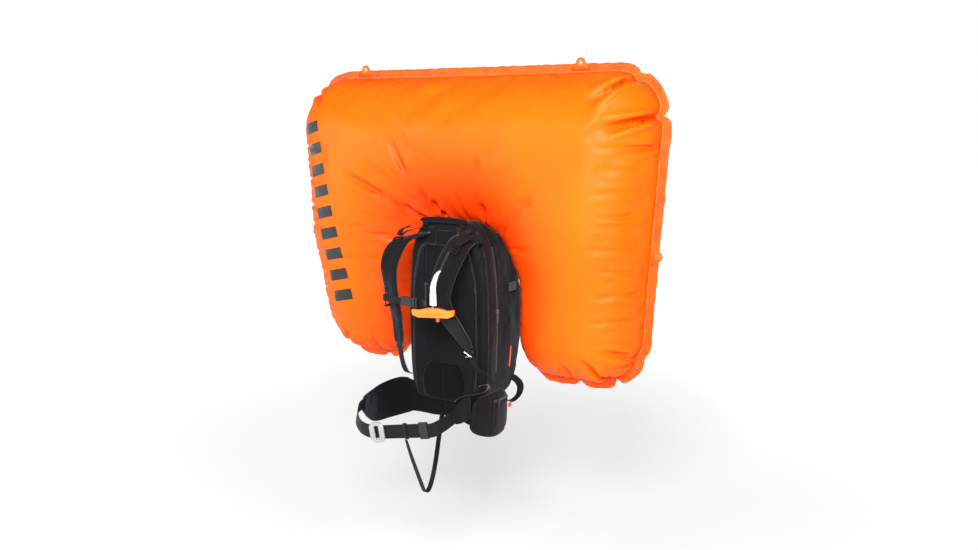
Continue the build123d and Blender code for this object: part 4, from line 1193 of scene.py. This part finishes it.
def shoulder_harness():
    """Both padded straps, the load lifters with their tails, and the lower webbings."""
    quilted = (-0.42, 0.42)
    padded_strap("shoulder_pad_left", STRAP_LEFT, "pack", "shoulder_strap_left", grooves=quilted, seed=1.0)
    padded_strap("shoulder_pad_right", STRAP_RIGHT, "pack", "shoulder_strap_right", grooves=quilted,
                 seed=7.0)
    webbing("lifter_webbing", [
        [((80, 24, 449), (1, 0, -0.1), 20, WEB_T), ((84, -12, 443), (1, 0, -0.3), 20, WEB_T),
         ((88, -42, 428), (1, 0, -0.4), 20, WEB_T), ((88.6, -58, 417), (1, 0, -0.4), 20, WEB_T)],
        [((-80, 24, 450), (1, 0, 0.1), 20, WEB_T), ((-85, -16, 449), (1, 0, 0.2), 20, WEB_T),
         ((-89, -54, 442), (1, 0, 0.2), 20, WEB_T), ((-90.5, -70, 436), (1, 0, 0.1), 20, WEB_T)]],
        "pack", ("load_lifters",))
    webbing("lifter_tails", [
        [((92, -62, 419), (1, 0.2, -0.3), 18, WEB_T), ((101, -44, 431), (1, 0.4, -0.3), 18, WEB_T),
         ((114, -22, 440), (0.9, 0.5, -0.1), 18, WEB_T), ((127, -8, 434), (0.7, 0.7, 0), 18, WEB_T),
         ((131, -2, 420), (0.6, 0.8, 0), 18, WEB_T)],
        [((-91, -76, 440), (1, 0, 0.2), 18, WEB_T), ((-93, -60, 451), (1, 0, 0.2), 18, WEB_T),
         ((-95, -36, 457), (1, 0, 0.3), 18, WEB_T), ((-97, -16, 455), (1, 0, 0.4), 18, WEB_T)]],
        "pack", ())
    webbing("lower_straps", [
        [((100.8, -20.5, 124), SIDEWAYS, 20, WEB_T), ((101.8, -15.8, 113), SIDEWAYS, 20, WEB_T),
         ((103.2, -12.5, 103), SIDEWAYS, 20, WEB_T), ((114, -1, 68), (1, 0.1, 0), 20, WEB_T),
         ((122, 20, 44), (0.85, 0.5, 0), 20, WEB_T), ((128, 42, 22), (0.7, 0.7, 0), 20, WEB_T),
         ((132.5, 68, 2), (0.3, 0.9, 0), 20, WEB_T)],
        [((-101, -67, 123), (1, -0.2, 0), 20, WEB_T), ((-102.2, -63, 112), (1, -0.2, 0), 20, WEB_T),
         ((-103.4, -59.5, 102), (1, -0.2, 0), 20, WEB_T), ((-110, -42, 66), (1, -0.2, 0), 20, WEB_T),
         ((-116, -14, 26), SIDEWAYS, 20, WEB_T), ((-114, 16, 10), SIDEWAYS, 20, WEB_T)]],
        "pack", ("lower_webbings",))
    centres, _, across, normal, _, thick = frames_along(STRAP_LEFT, 120)
    start, stop = 24, 56
    line = [centres[i] + normal[i] * (thick[i] / 2 + 1.4) - across[i] * 13 for i in range(start, stop)]
    zip_line("shoulder_zip", line, [tuple(n) for n in normal[start:stop]], 6.5, "pack", "zip",
             ("strap_zip",))


def haul_loop():
    """The padded grab roll with its webbing legs, and the sewn anchors below it."""
    x_span = np.linspace(-74, 78, 7)
    roll = [((x, 12 - 1.5 * math.cos(x / 50), 475 + 2.5 * math.cos(x / 48)), (0, 1, 0.15),
             17 - 3.0 * (abs(x - 2) / 76) ** 4, 17 - 5.0 * (abs(x - 2) / 76) ** 4) for x in x_span]
    skin = sweep(roll, 70, "round", around=28, round_ends=0.06)
    grip = make("grab_roll", *skin, PAD_CLOTH, "haul_loop", "webbing", ("haul_loop",))
    ruffle(grip, lambda p, n: 0.7 * unit_noise(p * (0.5, 1, 1), 0.09, 2.0) - 0.9
           * np.exp(-((p[:, 2] - 471 - 0.02 * p[:, 0]) / 1.6) ** 2))
    legs = [band([(x, 19, 459), (x, 15.5, 465), (x, 11, 474)], 18, thick=2) for x in (-62, 62)]
    webbing("grab_legs", legs, "haul_loop", (), count=16)
    anchors = [band([(x, 24, 457), (x, 24, 447), (x, 24, 437)], 20, thick=3) for x in (-46, 46)]
    webbing("grab_anchors", anchors, "pack", ("haul_loop_anchors",), count=16)


def sternum_and_trigger():
    """Webbings of the chest strap and the white sleeve over the trigger wire."""
    right = band([(-105, -131.6, 267), (-80, -138, 267), (-56, -145, 267), (-34.5, -147, 267)], 19, UP)
    webbing("chest_webbing_right", [right], "sternum_right", ("sternum_webbing_right",), count=40)
    left = band([(3, -141.6, 267), (20, -141.6, 267), (39.6, -141.6, 267)], 19, UP)
    webbing("chest_webbing_left", [left], "sternum_left", ("sternum_webbing_left",), count=24)
    sleeve = [((77, -124, 356), SIDEWAYS, 8, 3), ((76.5, -138, 348), SIDEWAYS, 11, 4.5),
              ((78, -152, 334), SIDEWAYS, 14, 6), ((79.5, -161, 319), SIDEWAYS, 16, 6),
              ((80, -163, 308), SIDEWAYS, 17, 6), ((80, -163, 300), SIDEWAYS, 18.5, 6),
              ((80, -163, 288), SIDEWAYS, 20, 6), ((80, -163, 268), SIDEWAYS, 21.5, 6)]
    skin = sweep(sleeve, 60, "pad", around=32)
    piece = make("wire_sleeve", *skin, SLEEVE, "pack", "sleeve_white", ("trigger_sleeve",))
    ruffle(piece, lambda p, n: 0.5 * unit_noise(p * (1, 1, 0.5), 0.09, 4.0)
           - 0.5 * np.exp(-((np.abs(p[:, 0] - 80) - 5.5) / 0.8) ** 2) * (n[:, 1] < 0))


# ---------------------------------------------------------------- side gear

def side_gear():
    """Side zips, compression straps, ski loops with the pull tab, and the plain marker stripe."""
    for side, label in ((1, "left"), (-1, "right")):
        line = [bag_side(ZIP_Y, z, 1.3, side) for z in np.arange(30, 401, 8.0)]
        out = [(side, -0.05, 0)] * len(line)
        zip_line("main_zip_" + label, line, out, 8.0, "pack", "zip", ("main_zips",))
    straps = []
    for side in (1, -1):
        for y0, y1 in ((96, 141), (187, 206)):
            straps.append(band([bag_side(y, STRAP_Z, 1.6, side) for y in np.linspace(y0, y1, 6)], 20, UP))
    webbing("compression_straps", straps, "pack", ("side_webbings",), count=24, sewn=False)
    loops = []
    for side in (1, -1):
        loops.append([((side * x, y, z), (side * a, b, c), 22, 2) for (x, y, z),
                      (a, b, c) in (((124.5, 188, -4), (0, 1, 0.2)), ((133, 214, -24), (0.3, 1, 0.4)),
                                    ((136, 230, -48), (1, 0.2, 0)), ((132, 222, -74), (1, -0.4, 0)),
                                    ((122, 196, -86), (1, -0.5, 0)), ((112, 170, -74), (1, -0.5, 0)),
                                    ((104, 151, -59), (1, -0.5, 0)))])
    webbing("ski_loop_webbing", loops, "pack", ("ski_loops",), count=50)
    tree = BVHTree.FromObject(bpy.data.objects["bag_body"], bpy.context.evaluated_depsgraph_get())
    ribbon = []
    for z in np.linspace(31, 93, 5):
        spot, normal, _, _ = tree.ray_cast(Vector((0.3, 0.167, z * MM)), Vector((-1, 0, 0)))
        ribbon.append(tuple((spot + normal * 0.0011) / MM))
    webbing("marker_ribbon", [band(ribbon, 6, (0.1, 1, 0), 1.0)], "pack", ("marker_stripe",), count=24,
            mat=MARKER, slot="signal_orange", sewn=False)
    tab = band([(121, 190, -90.5), (123.5, 186, -95), (126, 182, -99)], 14, (1, -0.5, 0), 2)
    webbing("loop_pull_tab", [tab], "pack", ("ski_loop_tab",), count=12, mat=MARKER, slot="signal_orange")


# ---------------------------------------------------------------- hip belt

BELT_START, BELT_END = np.array((128, -247.0, -46)), np.array((-40, -250.0, -79))


def strap_ring(centre, along, tall, deep, wide):
    """A flat loop of webbing round the belt, as a closed swept ring."""
    along = units(np.array(along, float))
    out = units(np.cross((0, 0, 1.0), along))
    up = np.cross(along, out)
    verts = []
    for t in np.linspace(0, 2 * math.pi, 56, endpoint=False):
        c, s = math.cos(t), math.sin(t)
        a = math.copysign(abs(c) ** 0.35, c) * deep
        b = math.copysign(abs(s) ** 0.2, s) * tall
        normal = units(out * c / deep + up * s / tall)
        for u, v in ((-0.5, -0.5), (0.5, -0.5), (0.5, 0.5), (-0.5, 0.5)):
            verts.append((centre + out * a + up * b + along * u * wide + normal * v * 1.5) * MM)
    return verts, hoop(len(verts) // 4, 4)


def hip_belt():
    """Padded wings, the box pocket, belt webbings, the strap keeper and the crotch strap."""
    for side, stations, seed in (("right", WING_RIGHT, 3.0), ("left", WING_LEFT, 5.0)):
        padded_strap("hip_wing_" + side, stations, "belt_" + side, "belt_wing_" + side, count=80, around=56,
                     mat=MESH_CLOTH, seed=seed, wrinkle=1.6)
    webbing("hip_webbing_right", [[((-178.6, -140, -50), UP, 30, 2), ((-175, -168, -56), (0.2, 0, 1), 34, 2),
                                   ((-160, -196, -74), (0.2, 0, 1), 38, 2), ((-130, -219, -86), UP, 38, 2),
                                   ((-98, -233, -88), UP, 38, 2), ((-70, -240.5, -85), UP, 38, 2),
                                   ((-44, -243.2, -80), UP, 34, 2)]], "belt_right", ("belt_webbing_right",),
            count=70)
    along = BELT_END - BELT_START
    straight = [tuple(BELT_START + along * k) for k in (0, 0.25, 0.5, 0.75, 1)]
    curved = [(168.6, -148, -10), (168, -176, -14), (162, -205, -22), (150, -229, -33)]
    webbing("hip_webbing_left", [band(curved + straight, 38, UP, 2)], "belt_left", ("belt_webbing_left",),
            count=110)
    keeper = strap_ring(BELT_START + along * 0.495, along, 21.5, 2.6, 9.0)
    merge("strap_keeper", [keeper], WEBBING, "belt_left", "webbing", ("crotch_loop",))

    pocket = [((187, 36, -42), UP, 62, 18), ((198, 0, -44), UP, 118, 28), ((204, -40, -44), UP, 126, 30),
              ((204, -76, -40), UP, 122, 28), ((196, -118, -32), UP, 104, 20),
              ((188, -146, -25), UP, 74, 12)]
    verts, faces = sweep(pocket, 70, "pad", around=72, round_ends=0.1)
    box = make("hip_pocket", verts, faces, BODY_CLOTH, "belt_left", "bag_fabric", ("belt_pocket",))
    relax(box, [i for i, v in enumerate(verts) if v[0] < 0.190], 8, 1.5, 0.004, stiff=22.0)

    def shape(points, normals):
        out = np.clip(normals[:, 0] * 1.5 - 0.2, 0, 1)
        folds = 1.6 * unit_noise(points * (1, 1, 0.5), 0.04, 2.0) + 0.8 * unit_noise(points, 0.09, 5.0)
        lines = groove(points[:, 2] + 14, 2.0, 2.0) + groove(points[:, 1] + 84 - 0.1 * points[:, 2], 1.8,
                                                             2.2)
        lines = lines + groove(points[:, 1] - 14, 1.4, 2.2)
        return out * (folds + lines)

    ruffle(box, shape)
    zip_line("hip_pocket_zip", [(221.2, -4, -2), (221.9, -30, -1), (221.8, -56, 0), (219.6, -80, 1)],
             [(1, 0, 0)], 6.5, "belt_left", "zip", ("pocket_zip",))

    strap = band([(-10, 14, -101), (2, -12, -120), (14, -40, -146), (26, -72, -190), (33, -98, -230),
                  (36, -122, -264), (37, -140, -273), (38, -156, -262)], 15)
    for point, width in (((41, -192, -198), 14), ((43, -224, -136), 12), ((44.8, -247, -87), 8.5)):
        strap += band([point], width)
    blended("leg_strap", sweep(strap, 120, "web", around=16), WEBBING, "webbing",
            ("crotch_strap",))
    cap = [((178, -134, -9), UP, 66, 7), ((175, -160, -9), UP, 64, 7), ((172.5, -182, -13), UP, 56, 7),
           ((167, -203, -20), UP, 42, 5)]
    skin = sweep(cap, 36, "pad", around=40, round_ends=0.2)
    make("wing_cap_left", *skin, PAD_CLOTH, "belt_left", "padding")
    hip_roots()


def blended(name, skin, mat, slot, replaces=()):
    """A piece made on no body, its transform baked into its points."""
    piece = make(name, *skin, mat, None, slot, replaces)
    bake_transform(piece)
    return piece


def hip_roots():
    """The belt's padded middle behind the lumbar pad, running out on each side into the wings."""
    for side, body, drop in ((1, "belt_left", 0), (-1, "belt_right", -10)):
        root = [((0, 16, -76), UP, 52, 13), ((side * 50, 16, -76), UP, 54, 14),
                ((side * 88, 17, -74), UP, 58, 14), ((side * 106, 17, -66 + drop * 0.4), UP, 76, 14),
                ((side * 120, 15, -55 + drop * 0.7), UP, 102, 14),
                ((side * 140, 7, -47 + drop), UP, 110, 13)]
        label = "left" if side > 0 else "right"
        skin = sweep(root, 70, "pad", around=48, round_ends=0.03)
        piece = blended("hip_root_" + label, skin, MESH_CLOTH, "padding")
        ruffle(piece, lambda p, n: 1.2 * unit_noise(p, 0.03, 8.0) * (np.abs(p[:, 0]) > 3))


# ---------------------------------------------------------------- finishes of the hard parts

FINISHES = (
    (ORANGE_PLASTIC, "airbag_eyelets trigger_handle"),
    (AIRBAG, "airbag_neck"),
    (BLACK_PLASTIC, "deflation_valve trigger_cable lifter_buckles strap_adjusters sternum_rails "
                    "side_buckle_sockets sternum_clip_left sternum_clip_right sternum_socket "
                    "sternum_plug side_buckle_plug_left side_buckle_plug_right buckle_plate "
                    "belt_triglide pocket_slider"),
    (HOUSING, "inflation_housing back_frame"),
    (WEBBING, "cartridge_strap"),
    (SILVER, "strap_hook_left cartridge"),
    (ZIP_METAL, "release_lever trigger_wire main_slider_left main_slider_right"),
    (MARKER, "trigger_lock_tab"),
    (BUCKLE_SILVER, "buckle_ring"),
)


def finish_hard_parts():
    """Gives every CAD part that stays in view its own material."""
    for mat, nodes in FINISHES:
        for node in nodes.split():
            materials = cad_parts[node].data.materials
            materials.clear()
            materials.append(mat)


# ---------------------------------------------------------------- stage

AZIMUTH = math.radians(30)
ELEVATION = math.radians(9.5)
DISTANCE = 2.7
AIM = Vector((0.0792, 0.1364, 0.3073))
LENS = 33.79
FLOOR_Z = -0.62
FLOOR_REACH = 30
SKY_LIGHT = 0.2


def camera():
    """The view from the wearer's front left, a little above."""
    back = Vector((math.sin(AZIMUTH) * math.cos(ELEVATION), -math.cos(AZIMUTH) * math.cos(ELEVATION),
                   math.sin(ELEVATION)))
    data = bpy.data.cameras.new("view")
    data.lens = LENS
    data.sensor_width = 36
    scene.camera = placed("view", data)
    aimed(scene.camera, AIM + back * DISTANCE, -back)


def area_light(name, place, aim, size, power):
    """A soft square lamp pointed at a place."""
    data = bpy.data.lights.new(name, "AREA")
    data.size = size
    data.energy = power
    aimed(placed(name, data), Vector(place), Vector(aim) - Vector(place))


def studio():
    """Pale floor, even surround and three soft lamps."""
    scene.view_settings.view_transform = "Standard"
    world = bpy.data.worlds.new("studio")
    scene.world = world
    world.use_nodes = True
    tree = world.node_tree
    add = adder(tree)
    surround = add(tree.nodes["Background"], Color=(1, 1, 1, 1), Strength=SKY_LIGHT)
    backdrop = add("Background", Color=(1, 1, 1, 1), Strength=1.0)
    seen = add("MixShader", at_0=add("LightPath", "Is Camera Ray"), at_1=surround, at_2=backdrop)
    add(tree.nodes["World Output"], Surface=seen)
    floor_mat, shader, add = new_material("pale_floor")
    away = add("VectorMath", "Value", operation="LENGTH", at_0=add("TexCoord", "Object"))
    glow = add("MapRange", Value=away, From_Min=0.9, From_Max=4.0, To_Min=0.42, To_Max=0.98)
    shade = ramp(add, add("TexNoise", Scale=3.0), (0.50, 0.50, 0.50), (0.53, 0.53, 0.53))
    add(shader, Base_Color=shade, Roughness=0.9, Emission_Color=(1, 1, 1, 1), Emission_Strength=glow)
    mesh = bpy.data.meshes.new("floor")
    corners = ((-1, -1), (1, -1), (1, 1), (-1, 1))
    mesh.from_pydata([(x * FLOOR_REACH, y * FLOOR_REACH, FLOOR_Z) for x, y in corners], [], [(0, 1, 2, 3)])
    mesh.materials.append(floor_mat)
    placed("floor", mesh)
    area_light("key", (1.15, -2.2, 1.45), (-0.05, 0.1, 0.42), 0.9, 140)
    area_light("fill", (-2.2, -2.2, 1.0), (-0.1, 0.1, 0.4), 1.4, 46)
    area_light("rim", (1.0, 2.8, 2.2), (0, 0.1, 0.4), 2.0, 30)


camera()
studio()
bag_body()
tool_pocket()
back_panel()
seam_flange(airbag_panels())
shoulder_harness()
haul_loop()
sternum_and_trigger()
side_gear()
hip_belt()
finish_hard_parts()
